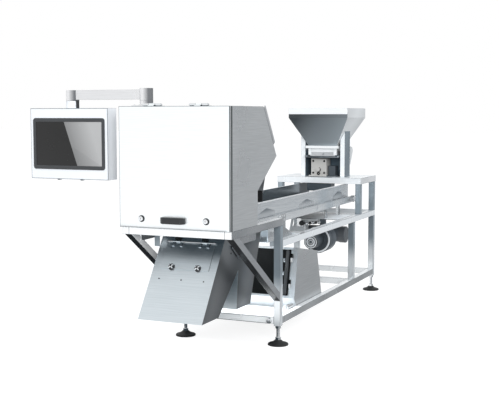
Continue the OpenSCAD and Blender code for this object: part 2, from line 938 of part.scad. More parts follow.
bracket_y0 = 1010;
bracket_y1 = 1090;
bracket_bar = 8;
foot_y = 1915;
foot_half = 36;
tail_leg_y0 = shelf_end - 50;
tail_leg_y1 = shelf_end - 14;

module conveyor_supports() {
    color(steel) machine() {
        block([-half_w, bracket_y0, mid_rail_top], [half_w, bracket_y1, mid_rail_top + bracket_bar]);
        both_sides() {
            block(
                [frame_x, bracket_y0, mid_rail_top + bracket_bar],
                [frame_x + 2 * plate_t, bracket_y1, ledge_z]
            );
            for (y = [bracket_y0 + 20, bracket_y1 - 20], z = [conveyor_z + 10, ledge_z - 12])
                rod_x(frame_x + 2 * plate_t, frame_x + 4 * plate_t, y, z, 8);
            plate_yz(
                [
                    [foot_y - foot_half, mid_rail_top], [foot_y + foot_half, mid_rail_top],
                    [foot_y + 4, conveyor_z], [foot_y - 4, conveyor_z]
                ],
                frame_x - 20, frame_x - 20 + 2 * plate_t
            );
            block([frame_x - 20, tail_leg_y0, mid_rail_top], [frame_x, tail_leg_y1, conveyor_z]);
        }
        block([-170, table_front + 10, motor_z + gearbox_half + 4], [-120, table_front + 26, mid_z]);
    }
}

gearbox_x0 = -pulley_x0 + 10;
gearbox_x1 = -110;
motor_end = 150;
fan_end = 200;
terminal_x = 40;
terminal_d = 44;
terminal_half = 36;
output_r = 9;
output_len = 20;

module drive_gearmotor() {
    color(steel_dark) machine() {
        difference() {
            union() {
                block(
                    [gearbox_x0, motor_y - gearbox_half, motor_z - gearbox_half],
                    [gearbox_x1, motor_y + gearbox_half, motor_z + gearbox_half + 4]
                );
                rod_x(gearbox_x1, motor_end, motor_y, motor_z, motor_r);
                rod_x(motor_end, fan_end, motor_y, motor_z, motor_r + 4);
                block(
                    [terminal_x, motor_y + motor_r - 8, motor_z - terminal_half],
                    [motor_end, motor_y + motor_r + terminal_d, motor_z + terminal_half]
                );
            }
            rod_x(gearbox_x0 - 1, gearbox_x0 + output_len + 1, motor_y, motor_z, output_r + pin_fit);
        }
    }
}

module drive_pulley() {
    color(steel) machine() {
        rod_x(-pulley_x0 - pulley_w, -pulley_x0, motor_y, motor_z, pulley_r);
        rod_x(-pulley_x0, gearbox_x0 + output_len, motor_y, motor_z, output_r);
    }
}

module drive_belt() {
    p = [motor_y, motor_z];
    q = [tail_y, roller_z];
    x0 = -pulley_x0 - pulley_w + 1;
    x1 = -pulley_x0 - 1;
    color(rubber) machine() difference() {
        loop_yz(p, q, pulley_r + belt_gap + timing_t, x0, x1);
        loop_yz(p, q, pulley_r + belt_gap, x0 - 1, x1 + 1);
    }
}

// Hopper and feeder

// The hopper's pyramid, grown by a given amount on every side
module pyramid(grow, z0, z1) {
    throat = neck_w + 8;
    hull() {
        translate([0, hopper_y, z1]) cube([mouth_w + 2 * grow, mouth_l + 2 * grow, 0.01], center = true);
        translate([0, hopper_y, z0]) cube([throat + 2 * grow, throat + 2 * grow, 0.01], center = true);
    }
}

// A square post round the hopper's axis
module shaft_block(w, l, z0, z1) {
    block([-w / 2, hopper_y - l / 2, z0], [w / 2, hopper_y + l / 2, z1]);
}

guide_w = 12;

module hopper() {
    inner = neck_w - 2 * sheet;
    color(white) machine() {
        difference() {
            union() {
                shaft_block(mouth_w, mouth_l, lip_z, hopper_top);
                pyramid(0, flange_z, lip_z);
                shaft_block(flange_w, flange_w, flange_z - flange_t, flange_z);
                shaft_block(neck_w, neck_w, neck_z, flange_z);
            }
            shaft_block(mouth_w - 2 * sheet, mouth_l - 2 * sheet, lip_z, hopper_top + 1);
            pyramid(-sheet, flange_z - 0.5, lip_z + 0.5);
            shaft_block(inner, inner, neck_z - 1, flange_z + 1);
            block(
                [-gate_w / 2 + 6, neck_front - 1, neck_z - 1],
                [gate_w / 2 - 6, neck_front + sheet + 1, neck_z + 12]
            );
        }
        both_sides() {
            x0 = gate_w / 2 + run_gap;
            block([x0, gate_y - run_gap, neck_z], [x0 + guide_w, neck_front, flange_z - flange_t]);
            block(
                [x0 - guide_w, gate_y - run_gap - sheet, neck_z],
                [x0 + guide_w, gate_y - run_gap, flange_z - flange_t]
            );
        }
    }
}

module feed_gate() {
    color(steel) machine() {
        block([-gate_w / 2, gate_y, gate_z], [gate_w / 2, gate_y + 3, gate_z + gate_h]);
        rod_y(gate_y - 18, gate_y, 0, gate_z + gate_h - 12, 9);
    }
}

module hopper_posts() {
    color(white) machine() both_sides() difference() {
        square_tube(
            [hopper_post_x0, hopper_post_y0, table_z],
            [hopper_post_x0 + hopper_post_w, hopper_post_y0 + hopper_post_d, lip_z - 60], 2
        );
        pyramid(0.2, flange_z, lip_z);
    }
}

funnel_lip = 10;

module drop_funnel() {
    z1 = table_z - table_t;
    color(steel) machine() difference() {
        union() {
            block([-drop_w / 2 - sheet, drop_y0 - sheet, drop_z], [drop_w / 2 + sheet, drop_y1 + sheet, z1]);
            block(
                [-drop_w / 2 - funnel_lip, drop_y0 - funnel_lip, z1 - sheet],
                [drop_w / 2 + funnel_lip, drop_y1 + funnel_lip, z1]
            );
        }
        block([-drop_w / 2, drop_y0, drop_z - 1], [drop_w / 2, drop_y1, z1 + 1]);
    }
}

vibrator_top = tray_z - 10;
anchor_h = 26;
anchor_d = 30;
anchor_pitch = 160;
anchor_y = vibrator_y + anchor_pitch;
anchors = [vibrator_y + vibrator_d + 12, anchor_y];
spring_rise = tray_z - table_z - base_t - anchor_h - run_gap;
spring_w = 70;

module vibrator_base() {
    x0 = vibrator_x - vibrator_w / 2;
    x1 = vibrator_x + vibrator_w / 2;
    z0 = table_z + base_t;
    color("#b9b8b6") machine() {
        block(
            [-tray_w / 2 + 15, vibrator_y - 2, table_z],
            [tray_w / 2 - 15, anchor_y + anchor_d + 14, z0]
        );
        difference() {
            block([x0, vibrator_y, z0], [x1, vibrator_y + vibrator_d, vibrator_top]);
            for (x = [x0 + 16, x1 - 16], z = [z0 + 18, vibrator_top - 18])
                rod_y(vibrator_y - 1, vibrator_y + 8, x, z, 6);
        }
        rod_y(vibrator_y - 12, vibrator_y, vibrator_x - 4, z0 + 44, 16);
        for (y = anchors)
            block([-spring_w / 2, y, z0], [spring_w / 2, y + anchor_d, z0 + anchor_h]);
        block([x1 + 10, vibrator_y + 20, z0], [x1 + 64, vibrator_y + 76, z0 + 70]);
    }
}

spring_t = 2;

module leaf_springs() {
    z0 = table_z + base_t + anchor_h;
    shift = spring_rise * tan(spring_angle);
    z1 = z0 + spring_rise;
    color(steel_dark) machine() for (y = anchors)
        translate([0, y + 4, 0]) plate_yz(
            [[0, z0], [spring_t, z0], [spring_t + shift, z1], [shift, z1]],
            -spring_w / 2, spring_w / 2
        );
}

module feeder_tray() {
    color(white) machine() difference() {
        block([-tray_w / 2, tray_y0, tray_z], [tray_w / 2, tray_y1, tray_z + tray_wall_h]);
        block(
            [-tray_w / 2 + sheet, tray_y0 - 1, tray_z + sheet],
            [tray_w / 2 - sheet, tray_y1 - sheet, tray_z + tray_wall_h + 1]
        );
    }
}

// Air blower and air supply

impeller_r = blower_r - 16;
impeller_hub = 15;
blade_count = 10;
blower_shaft_r = 8;
casing_wall = 7;
grille_hub = 30;

module blower_housing() {
    top = blower_z + blower_r;
    color(steel) machine() {
        difference() {
            union() {
                rod_y(blower_y0, blower_y1, blower_x, blower_z, blower_r);
                block(
                    [blower_x - 19, shelf_y + 1, top - 8],
                    [blower_x + 19, shelf_y + 24, mid_rail_top - shelf_t]
                );
            }
            rod_y(blower_y0 + casing_wall, blower_y1 - casing_wall, blower_x, blower_z, impeller_r + 3);
            rod_y(blower_y0 - 1, blower_y0 + casing_wall + 1, blower_x, blower_z, impeller_r - 8);
        }
        difference() {
            rod_y(blower_y0, blower_y0 + casing_wall - 1, blower_x, blower_z, grille_hub);
            rod_y(blower_y0 - 1, blower_y0 + casing_wall, blower_x, blower_z, blower_shaft_r);
        }
        for (turn = [0, 90]) translate([blower_x, 0, blower_z]) rotate([0, turn, 0])
            difference() {
                block([-impeller_r + 7, blower_y0, -4], [impeller_r - 7, blower_y0 + casing_wall - 1, 4]);
                rod_y(blower_y0 - 1, blower_y0 + casing_wall, 0, 0, grille_hub - 1);
            }
    }
}

motor_body_r = 46;

module blower_motor() {
    y0 = blower_y0 - motor_len;
    color(steel_dark) machine() difference() {
        union() {
            rod_y(y0 + 6, blower_y0, blower_x, blower_z, motor_body_r);
            rod_y(y0, y0 + 20, blower_x, blower_z, motor_body_r - 4);
            block([blower_x - 9, y0 - 8, blower_z - 9], [blower_x + 9, y0 + 2, blower_z + 9]);
        }
        rod_y(blower_y0 - 60, blower_y0 + 1, blower_x, blower_z, blower_shaft_r + pin_fit);
    }
}

module blower_impeller() {
    y0 = blower_y0 + casing_wall + 3;
    y1 = blower_y1 - casing_wall - 3;
    color(black) machine() {
        rod_y(blower_y0 - 58, blower_y0, blower_x, blower_z, blower_shaft_r);
        rod_y(blower_y0, y1, blower_x, blower_z, blower_shaft_r - 1);
        rod_y(y0, y1, blower_x, blower_z, impeller_hub);
        rod_y(y1 - 4, y1, blower_x, blower_z, impeller_r - 3);
        for (i = [0:blade_count - 1])
            translate([blower_x, 0, blower_z]) rotate([0, i * 360 / blade_count, 0])
                block([impeller_hub - 2, y0, -1.5], [impeller_r - 6, y1 - 2, 1.5]);
    }
}

regulator_x = 26;
regulator_z = 578;
regulator_y0 = shelf_y + 2;
regulator_knob_r = 18;
regulator_pin_r = 5;

module air_regulator() {
    color(steel) machine() {
        difference() {
            union() {
                block(
                    [regulator_x - 16, regulator_y0, mid_rail_top - shelf_t - 26],
                    [regulator_x + 114, regulator_y0 + 34, mid_rail_top - shelf_t]
                );
                rod_y(regulator_y0 - 10, regulator_y0 + 6, regulator_x, regulator_z, 15);
                for (x = [36, 62, 88])
                    rod_y(regulator_y0 - 14, regulator_y0 + 4, regulator_x + x, regulator_z + 4, 9);
                rod_z(regulator_z - 56, regulator_z + 8, regulator_x + 18, regulator_y0 + 17, 14);
            }
            rod_y(regulator_y0 - 11, regulator_y0 + 20, regulator_x, regulator_z, regulator_pin_r + pin_fit);
        }
    }
}

module regulator_knob() {
    y1 = regulator_y0 - 10 - run_gap;
    color(black) machine() {
        rod_y(y1 - 24, y1, regulator_x, regulator_z, regulator_knob_r);
        rod_y(y1, regulator_y0 + 18, regulator_x, regulator_z, regulator_pin_r);
    }
}

air_x = tube_x - 25;
air_z = low_rail_z + tube / 2;
air_len = 20;
hose_r = 5;
filter_r = 17;
filter_len = 92;
filter_x = tube_x - filter_r - 3;
filter_y = box_y - filter_len - 8;
filter_z = box_floor + 30;

module air_inlet() {
    color(steel) machine() difference() {
        union() {
            rod_y(leg_y - air_len, leg_y, air_x, air_z, 13);
            translate([air_x, leg_y - 8, air_z]) rotate([-90, 0, 0]) cylinder(h = 8, r = 17, $fn = 6);
        }
        rod_y(leg_y - air_len - 1, leg_y - 2, air_x, air_z, hose_r);
    }
    color(steel) machine() {
        rod_y(filter_y, filter_y + filter_len, filter_x, filter_z, filter_r);
        block(
            [filter_x - filter_r, filter_y + 12, box_floor],
            [filter_x + filter_r, filter_y + filter_len - 12, filter_z]
        );
        rod_y(filter_y - 14, filter_y, filter_x, filter_z, filter_r / 2);
    }
}

// Control box

// Places a piece on the box's sloping front: Z runs up the slope, -Y stands out of it
module on_box_front() {
    translate([0, box_y, box_z]) rotate([-box_lean, 0, 0]) children();
}

box_outline = [
    [box_chin_y, box_floor], [box_back_foot, box_floor], [box_back_top, box_back_z],
    [box_top_y, box_top_z], [box_y, box_z]
];
box_knuckle_z = [60, 220];
box_knuckle_h = 26;
box_knuckle_r = 6;
box_pin_r = 4;
box_border = 46;

module control_box() {
    in_x = box_half - sheet;
    color(steel) machine() {
        both_sides() plate_yz(box_outline, in_x, box_half);
        plate_yz(
            [
                [box_chin_y + sheet, box_floor + sheet], [box_chin_y + sheet, box_floor],
                [box_back_foot, box_floor], [box_back_foot, box_floor + sheet]
            ],
            -in_x, in_x
        );
        plate_yz(strip([box_back_foot, box_floor + sheet], [box_back_top, box_back_z], sheet), -in_x, in_x);
        plate_yz(strip([box_back_top, box_back_z], [box_top_y + sheet, box_top_z], sheet), -in_x, in_x);
        plate_yz(strip([box_y, box_z], [box_chin_y, box_floor], sheet), -in_x, in_x);
        on_box_front() {
            difference() {
                block([-in_x, 0, 0], [in_x, sheet, box_front]);
                block(
                    [box_door_x0 + 14, -1, 30], [box_hinge_x - 22, sheet + 1, box_front - 30]
                );
            }
            for (z = box_knuckle_z) {
                rod_z(z, z + box_knuckle_h, box_hinge_x, -box_hinge_n, box_knuckle_r);
                block([box_hinge_x - 4, -box_hinge_n, z], [box_hinge_x + 6, sheet / 2, z + box_knuckle_h]);
                rod_z(z, z + 2 * box_knuckle_h, box_hinge_x, -box_hinge_n, box_pin_r);
            }
        }
    }
}

module box_door() {
    x1 = box_hinge_x - box_knuckle_r - 2;
    color(black) machine() on_box_front() difference() {
        union() {
            block([box_door_x0, -run_gap - box_door_t, 14], [x1, -run_gap, box_front - 14]);
            for (z = box_knuckle_z) translate([0, 0, z + box_knuckle_h + run_gap]) {
                rod_z(0, box_knuckle_h - 1, box_hinge_x, -box_hinge_n, box_knuckle_r);
                block([x1 - 1, -box_hinge_n - 2, 0], [box_hinge_x, -box_hinge_n + 2, box_knuckle_h - 1]);
            }
        }
        rod_z(0, box_front, box_hinge_x, -box_hinge_n, box_pin_r + pin_fit);
    }
}

board_y = 270;
board_t = 4;
board_half = 200;
board_h = 230;
supply_x0 = 40;
supply_x1 = 180;
supply_d = 100;
supply_h = 120;
driver_w = 170;
driver_d = 66;
driver_h = 190;

module control_boards() {
    z0 = box_floor + sheet;
    face = box_y + board_y + board_t;
    color("#3c4a44") machine() {
        block([-board_half, box_y + board_y, z0], [board_half, face, z0 + board_h]);
        block([-supply_x1, face, z0], [-supply_x0, face + supply_d, z0 + supply_h]);
        block([0, face, z0], [driver_w, face + driver_d, z0 + driver_h]);
    }
}

// Display arm

module arm_post() {
    color(white) machine() translate([-arm_x, arm_y, 0]) {
        block(
            [-arm_base_w / 2, -arm_base_d / 2, cabinet_top],
            [arm_base_w / 2, arm_base_d / 2, cabinet_top + arm_foot]
        );
        rod_z(cabinet_top, collar_z - arm_gap, 0, 0, post_d / 2);
        rod_z(collar_z - arm_gap, collar_z + pivot_h, 0, 0, pivot_r);
    }
}

slot_w = 20;

module swing_arm() {
    bar_z = arm_top - arm_bar_h;
    inset = post_d / 2 + 8;
    color(white) machine() translate([-arm_x, arm_y, 0]) difference() {
        union() {
            rod_z(collar_z, arm_top + 7, 0, 0, post_d / 2);
            rod_z(collar_z, arm_top, -arm_reach, 0, post_d / 2);
            block([-arm_reach, -arm_bar_d / 2, bar_z], [0, arm_bar_d / 2, arm_top]);
        }
        for (x = [0, -arm_reach])
            rod_z(collar_z - 1, collar_z + pivot_h + 1, x, 0, pivot_r + pin_fit);
        block(
            [-arm_reach + inset, -arm_bar_d / 2 + sheet, bar_z + sheet],
            [-inset, arm_bar_d / 2 - sheet, arm_top - sheet]
        );
        block([-arm_reach + inset, -slot_w / 2, bar_z - 1], [-inset, slot_w / 2, bar_z + sheet + 1]);
    }
}

window_lap = 10;
gland_x = [-95, 55];

module monitor_housing() {
    y1 = monitor_y + monitor_d;
    z0 = monitor_top - monitor_h;
    color(white) machine() translate([monitor_x, 0, 0]) {
        difference() {
            block([-monitor_w / 2, monitor_y, z0], [monitor_w / 2, y1, monitor_top]);
            block(
                [-monitor_w / 2 + sheet, monitor_y + sheet, z0 + sheet],
                [monitor_w / 2 - sheet, y1 - sheet, monitor_top - sheet]
            );
            block(
                [-bezel_w / 2 + window_lap, monitor_y - 1, monitor_mid_z - bezel_h / 2 + window_lap],
                [bezel_w / 2 - window_lap, monitor_y + sheet + 1, monitor_mid_z + bezel_h / 2 - window_lap]
            );
        }
        rod_z(monitor_top, collar_z - arm_gap, 0, arm_y, post_d / 2);
        rod_z(collar_z - arm_gap, collar_z + pivot_h, 0, arm_y, pivot_r);
        for (x = gland_x) {
            rod_z(z0 - 8, z0, x, arm_y, 11);
        }
    }
}

bezel_d = 5;
glass_step = 2;
panel_d = 18;

module monitor_screen() {
    lap = window_lap + run_gap;
    color(black) machine() translate([monitor_x, monitor_y, monitor_mid_z]) difference() {
        union() {
            block([-bezel_w / 2, -bezel_d, -bezel_h / 2], [bezel_w / 2, 0, bezel_h / 2]);
            block(
                [-bezel_w / 2 + lap, -1, -bezel_h / 2 + lap],
                [bezel_w / 2 - lap, panel_d, bezel_h / 2 - lap]
            );
        }
        block(
            [-screen_w / 2, -bezel_d - 1, -screen_h / 2],
            [screen_w / 2, -bezel_d + glass_step, screen_h / 2]
        );
    }
}

// Front door

hinge_part = hinge_w / 3;

module door_hinges() {
    color(steel) machine() for (x = [-hinge_x, hinge_x]) translate([x, 0, 0]) {
        for (side = [-1, 1]) translate([side * hinge_part, 0, 0]) {
            half = hinge_part / 2 - run_gap;
            rod_x(-half, half, door_hinge_y, door_hinge_z, door_hinge_r);
            block(
                [-half, door_hinge_y, cabinet_top],
                [half, door_hinge_y + 2 * door_hinge_r, door_hinge_z]
            );
        }
        block(
            [-hinge_w / 2, door_hinge_y + door_hinge_r + 2, cabinet_top],
            [hinge_w / 2, arm_y - arm_base_d / 2 - 2, cabinet_top + sheet]
        );
        rod_x(-hinge_w / 2 - 4, hinge_w / 2 + 4, door_hinge_y, door_hinge_z, door_pin_r);
    }
}

lock_shaft_r = 5;

module front_door() {
    half = hinge_part / 2 - run_gap;
    color(white) machine() difference() {
        union() {
            difference() {
                block([-half_w, 0, door_z0], [half_w, door_d, cabinet_top]);
                block(
                    [-half_w + sheet, sheet, door_z0 + sheet],
                    [half_w - sheet, door_d + 1, cabinet_top - sheet]
                );
            }
            for (x = [-hinge_x, hinge_x]) translate([x, 0, 0]) {
                rod_x(-half, half, door_hinge_y, door_hinge_z, door_hinge_r);
                block([-half, door_d - 16, cabinet_top - sheet], [half, door_hinge_y, door_hinge_z - 2]);
            }
        }
        rod_x(-half_w, half_w, door_hinge_y, door_hinge_z, door_pin_r + pin_fit);
        for (x = [-lock_x, lock_x])
            rod_y(-1, sheet + 1, x, lock_z, lock_shaft_r + pin_fit);
    }
}

module door_seal() {
    y1 = cabinet_front - run_gap;
    color(rubber) machine() difference() {
        block([-half_w + 0.5, door_d, door_z0 + 0.5], [half_w - 0.5, y1, cabinet_top - sheet - 0.5]);
        block(
            [-half_w + seal_w, door_d - 1, door_z0 + seal_w],
            [half_w - seal_w, y1 + 1, cabinet_top - seal_w]
        );
    }
}

handle_z = lock_z - 20;
handle_wall = 8;

module door_handle() {
    color(black) machine() difference() {
        plate_yz(
            [
                [0, handle_z], [-handle_d + 4, handle_z], [-handle_d, handle_z + 6],
                [-handle_d, handle_z + handle_h - 10], [-handle_d + 8, handle_z + handle_h],
                [0, handle_z + handle_h]
            ],
            -handle_w / 2, handle_w / 2
        );
        block(
            [-handle_w / 2 + handle_wall, -handle_d + handle_wall, handle_z - 1],
            [handle_w / 2 - handle_wall, 1, handle_z + handle_h - handle_wall]
        );
    }
}

module door_lock(x) {
    color(steel) machine() translate([x, 0, lock_z]) {
        rod_y(-9, -run_gap, 0, 0, lock_d / 2);
        rod_y(-run_gap, 18, 0, 0, lock_shaft_r);
        block([-7, 14, -26], [7, 17, 7]);
    }
}

module left_lock() {
    door_lock(-lock_x);
}

module right_lock() {
    door_lock(lock_x);
}

// Rear hatch

module rear_hatch() {
    hw = half_w - 4;
    color(steel) machine() on_slope() difference() {
        union() {
            difference() {
                block(
                    [-hw, hatch_hinge_s + hatch_knuckle_r + 2, hatch_gap],
                    [hw, hatch_len + hatch_hinge_s, hatch_gap + hatch_t]
                );
                block(
                    [-hw + sheet, hatch_hinge_s + hatch_knuckle_r + 2 + sheet, hatch_gap - 1],
                    [hw - sheet, hatch_len + hatch_hinge_s - sheet, hatch_gap + hatch_t - sheet]
                );
            }
            for (side = [-1, 1]) translate([side * (hatch_knuckle_x - hatch_knuckle_w / 2), 0, 0]) {
                half = hatch_knuckle_w / 2;
                rod_x(-half, half, hatch_hinge_s, hatch_hinge_n, hatch_knuckle_r);
                block(
                    [-half, hatch_hinge_s, hatch_gap + hatch_t - 6],
                    [half, hatch_hinge_s + hatch_knuckle_r + 4, hatch_gap + hatch_t]
                );
            }
        }
        rod_x(-half_w, half_w, hatch_hinge_s, hatch_hinge_n, hatch_pin_r + pin_fit);
    }
}

frame_posts();
frame_rails();
cabinet_beams();
diagonal_braces();
feeder_table();
frame_plates();
floor_plates();
foot_pads();
foot_stems();
side_panels();
top_panel();
rear_panel();
inlet_curtain();
camera_unit();
led_bars();
ejector_bank();
lower_camera_box();
chute_body();
conveyor_frames();
side_guards();
slider_bed();
conveyor_belt();
roller_bearings();
conveyor_supports();
drive_gearmotor();
drive_belt();
hopper();
hopper_posts();
drop_funnel();
vibrator_base();
leaf_springs();
blower_housing();
blower_motor();
control_box();
control_boards();
air_regulator();
arm_post();
door_hinges();
air_inlet();
front_door();
door_seal();
door_handle();
left_lock();
right_lock();
rear_hatch();
swing_arm();
monitor_housing();
monitor_screen();
head_roller();
tail_roller();
drive_pulley();
feeder_tray();
feed_gate();
chute_hatch();
left_hatch_knob();
right_hatch_knob();
splitter();
box_door();
blower_impeller();
regulator_knob();
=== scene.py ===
"""Optical colour sorter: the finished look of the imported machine, built around its CAD frame.

Shapes are given in machine millimetres: x runs across from the door's middle, y back from the door's face
and z up from the floor. piece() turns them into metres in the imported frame.
"""

import math

import bmesh
import bpy
import numpy as np
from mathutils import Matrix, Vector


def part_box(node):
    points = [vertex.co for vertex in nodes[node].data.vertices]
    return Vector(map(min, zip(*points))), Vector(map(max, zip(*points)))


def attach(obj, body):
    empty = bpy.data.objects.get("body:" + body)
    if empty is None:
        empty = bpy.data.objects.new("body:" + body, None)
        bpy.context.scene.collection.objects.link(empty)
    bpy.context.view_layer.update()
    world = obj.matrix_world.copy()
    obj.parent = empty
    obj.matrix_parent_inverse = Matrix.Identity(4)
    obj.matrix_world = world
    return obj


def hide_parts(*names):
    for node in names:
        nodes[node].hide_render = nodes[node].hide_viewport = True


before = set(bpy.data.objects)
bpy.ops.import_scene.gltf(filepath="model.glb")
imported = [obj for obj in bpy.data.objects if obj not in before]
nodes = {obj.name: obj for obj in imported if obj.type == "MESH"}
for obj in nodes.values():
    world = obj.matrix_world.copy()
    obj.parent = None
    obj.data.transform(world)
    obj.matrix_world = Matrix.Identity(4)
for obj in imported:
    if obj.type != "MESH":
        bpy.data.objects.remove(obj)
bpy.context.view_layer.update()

# Frame: legs, rails, beams and braces of 40 mm square stainless tube, welded and ground flush.
# The tube comes belt-ground along its length, so every face carries long fine streaks.
# Its edges carry a thin grey line of painted shade, and two dark strips of painted shade run along the front
# rail's edges.
TUBE = 40.0
X, Y, Z = np.eye(3)
ALONG_X, ALONG_Y, ALONG_Z = range(3)
NOISE_LOW, NOISE_HIGH = 0.3, 0.7
door_low, door_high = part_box("front_door")
ORIGIN = np.array([(door_low.x + door_high.x) / 2, door_low.y, 0.0])


def box_mm(name):
    """A CAD node's lowest and highest corner in machine millimetres, to a tenth."""
    return [np.round((np.array(corner) - ORIGIN) * 1000, 1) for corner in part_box(name)]


def linear(hex_colour):
    """sRGB hex to linear RGBA: c / 12.92 near black, otherwise ((c + 0.055) / 1.055) to the power 2.4."""
    c = np.array([int(hex_colour[i:i + 2], 16) for i in (1, 3, 5)]) / 255
    c = np.where(c <= 0.04045, c / 12.92, ((c + 0.055) / 1.055) ** 2.4)
    return (*c.tolist(), 1.0)


def add(tree, kind, values=None, links=None, **settings):
    """Adds one node, sets its properties and socket values, and links sockets to the outputs given."""
    node = tree.nodes.new(kind)
    for key, value in settings.items():
        setattr(node, key, value)
    for socket, value in (values or {}).items():
        node.inputs[socket].default_value = value
    for socket, source in (links or {}).items():
        tree.links.new(source, node.inputs[socket])
    return node


def new_material(name):
    """An empty node material with its output, and the Object coordinates that the patterns use."""
    material = bpy.data.materials.new(name)
    material.use_nodes = True
    tree = material.node_tree
    tree.nodes.clear()
    out = add(tree, "ShaderNodeOutputMaterial")
    where = add(tree, "ShaderNodeTexCoord").outputs["Object"]
    return material, tree, out, where


def brushed_steel(
    name, light, dark, along, roughness, streak_mm=4.0, length_mm=160.0, bump=0.03, shade=None, metal=0.9
):
    """Brushed steel: noise stretched along one axis tints the metal, varies its gloss and ruffles it.
    Real scratches lie about 0.1 mm apart; they are drawn streak_mm apart so that the render shows them.
    shade(tree, where, colour) may return a further colour output that replaces the streaked one."""
    cloud_mm, ruffle_mm = 333.3, 0.5
    glossier, duller = 0.04, 0.05
    material, tree, out, where = new_material(name)
    scale = [1000 / streak_mm] * 3
    scale[along] = 1000 / length_mm
    stretched = add(tree, "ShaderNodeMapping", {"Scale": scale}, {"Vector": where})
    streaks = add(
        tree, "ShaderNodeTexNoise", {"Scale": 1.0, "Detail": 3.0, "Roughness": 0.6},
        {"Vector": stretched.outputs["Vector"]},
    )
    clouds = add(tree, "ShaderNodeTexNoise", {"Scale": 1000 / cloud_mm, "Detail": 2.0}, {"Vector": where})
    tint = add(
        tree, "ShaderNodeMapRange", {"From Min": NOISE_LOW, "From Max": NOISE_HIGH},
        {"Value": streaks.outputs["Fac"]},
    )
    colour = add(
        tree, "ShaderNodeMix", {6: linear(dark), 7: linear(light)}, {0: tint.outputs["Result"]},
        data_type="RGBA",
    ).outputs[2]
    if shade:
        colour = shade(tree, where, colour)
    gloss_range = {"To Min": roughness - glossier, "To Max": roughness + duller}
    gloss = add(
        tree, "ShaderNodeMapRange", {"From Min": NOISE_LOW, "From Max": NOISE_HIGH, **gloss_range},
        {"Value": clouds.outputs["Fac"]},
    )
    ruffle = add(
        tree, "ShaderNodeBump", {"Strength": bump, "Distance": ruffle_mm / 1000},
        {"Height": streaks.outputs["Fac"]},
    )
    steel = add(
        tree, "ShaderNodeBsdfPrincipled", {"Metallic": metal},
        {"Base Color": colour, "Roughness": gloss.outputs["Result"], "Normal": ruffle.outputs["Normal"]},
    )
    tree.links.new(steel.outputs["BSDF"], out.inputs["Surface"])
    return material


def coated(name, light, dark, roughness, grit_mm=3.0, metallic=0.0, bump=0.05, shine=0.5, shade=None):
    """A painted, moulded, plated or cast skin: clouds mottle its colour and fine grit dimples it.
    Real grit is a fraction of a millimetre; it is drawn grit_mm apart so that the render shows it."""
    cloud_mm, dimple_mm, gloss_swing = 142.9, 0.4, 0.05
    material, tree, out, where = new_material(name)
    grit = add(
        tree, "ShaderNodeTexNoise", {"Scale": 1000 / grit_mm, "Detail": 2.0}, {"Vector": where}
    )
    clouds = add(tree, "ShaderNodeTexNoise", {"Scale": 1000 / cloud_mm, "Detail": 3.0}, {"Vector": where})
    colour = add(
        tree, "ShaderNodeMix", {6: linear(dark), 7: linear(light)}, {0: clouds.outputs["Fac"]},
        data_type="RGBA",
    ).outputs[2]
    if shade:
        colour = shade(tree, where, colour)
    gloss_range = {"To Min": roughness - gloss_swing, "To Max": roughness + gloss_swing}
    gloss = add(
        tree, "ShaderNodeMapRange", {"From Min": NOISE_LOW, "From Max": NOISE_HIGH, **gloss_range},
        {"Value": grit.outputs["Fac"]},
    )
    dimples = add(
        tree, "ShaderNodeBump", {"Strength": bump, "Distance": dimple_mm / 1000},
        {"Height": grit.outputs["Fac"]},
    )
    skin = add(
        tree, "ShaderNodeBsdfPrincipled", {"Metallic": metallic, "Specular IOR Level": shine},
        {"Base Color": colour, "Roughness": gloss.outputs["Result"], "Normal": dimples.outputs["Normal"]},
    )
    tree.links.new(skin.outputs["BSDF"], out.inputs["Surface"])
    return material


def dress(names, material, edge_mm=0.6, edge_material=None, flatten=True):
    """Gives CAD nodes their finish; their triangles are welded into flat faces and the edges broken by a
    small bevel, which may have a finish of its own, such as a grey that paints the shade along the edge.
    A hollow casing keeps its triangles, because flattening spoils it."""
    weld_mm, flat_degrees, edge_degrees = 0.02, 0.5, 24
    for name in names.split():
        node = nodes[name]
        node.data.materials.clear()
        node.data.materials.append(material)
        node.data.materials.append(edge_material or material)
        weld = node.modifiers.new("weld", "WELD")
        weld.merge_threshold = weld_mm / 1000
        if flatten:
            flat = node.modifiers.new("flat", "DECIMATE")
            flat.decimate_type = "DISSOLVE"
            flat.angle_limit = math.radians(flat_degrees)
        edge = node.modifiers.new("edge", "BEVEL")
        edge.width = edge_mm / 1000
        edge.segments = 2
        edge.limit_method = "ANGLE"
        edge.angle_limit = math.radians(edge_degrees)
        edge.material = 1
        even = node.modifiers.new("even", "WEIGHTED_NORMAL")
        even.weight = 100


def looking(tree, direction):
    """How squarely a face looks in a direction: the dot product of its normal and the direction."""
    normal = add(tree, "ShaderNodeTexCoord").outputs["Normal"]
    dot = add(tree, "ShaderNodeVectorMath", {1: direction}, {0: normal}, operation="DOT_PRODUCT")
    return dot.outputs["Value"]


def tint_above(low, high, tint):
    """A shade that changes to the tint from the height low to the height high: painted reflection on the
    posts and rails, painted shade on the clips.
    """
    def shade(tree, where, colour):
        here = add(tree, "ShaderNodeSeparateXYZ", None, {0: where})
        rise = add(
            tree, "ShaderNodeMapRange", {"From Min": low / 1000, "From Max": high / 1000},
            {"Value": here.outputs["Z"]}, interpolation_type="SMOOTHSTEP",
        )
        return add(
            tree, "ShaderNodeMix", {7: linear(tint)}, {0: rise.outputs["Result"], 6: colour},
            data_type="RGBA",
        ).outputs[2]
    return shade


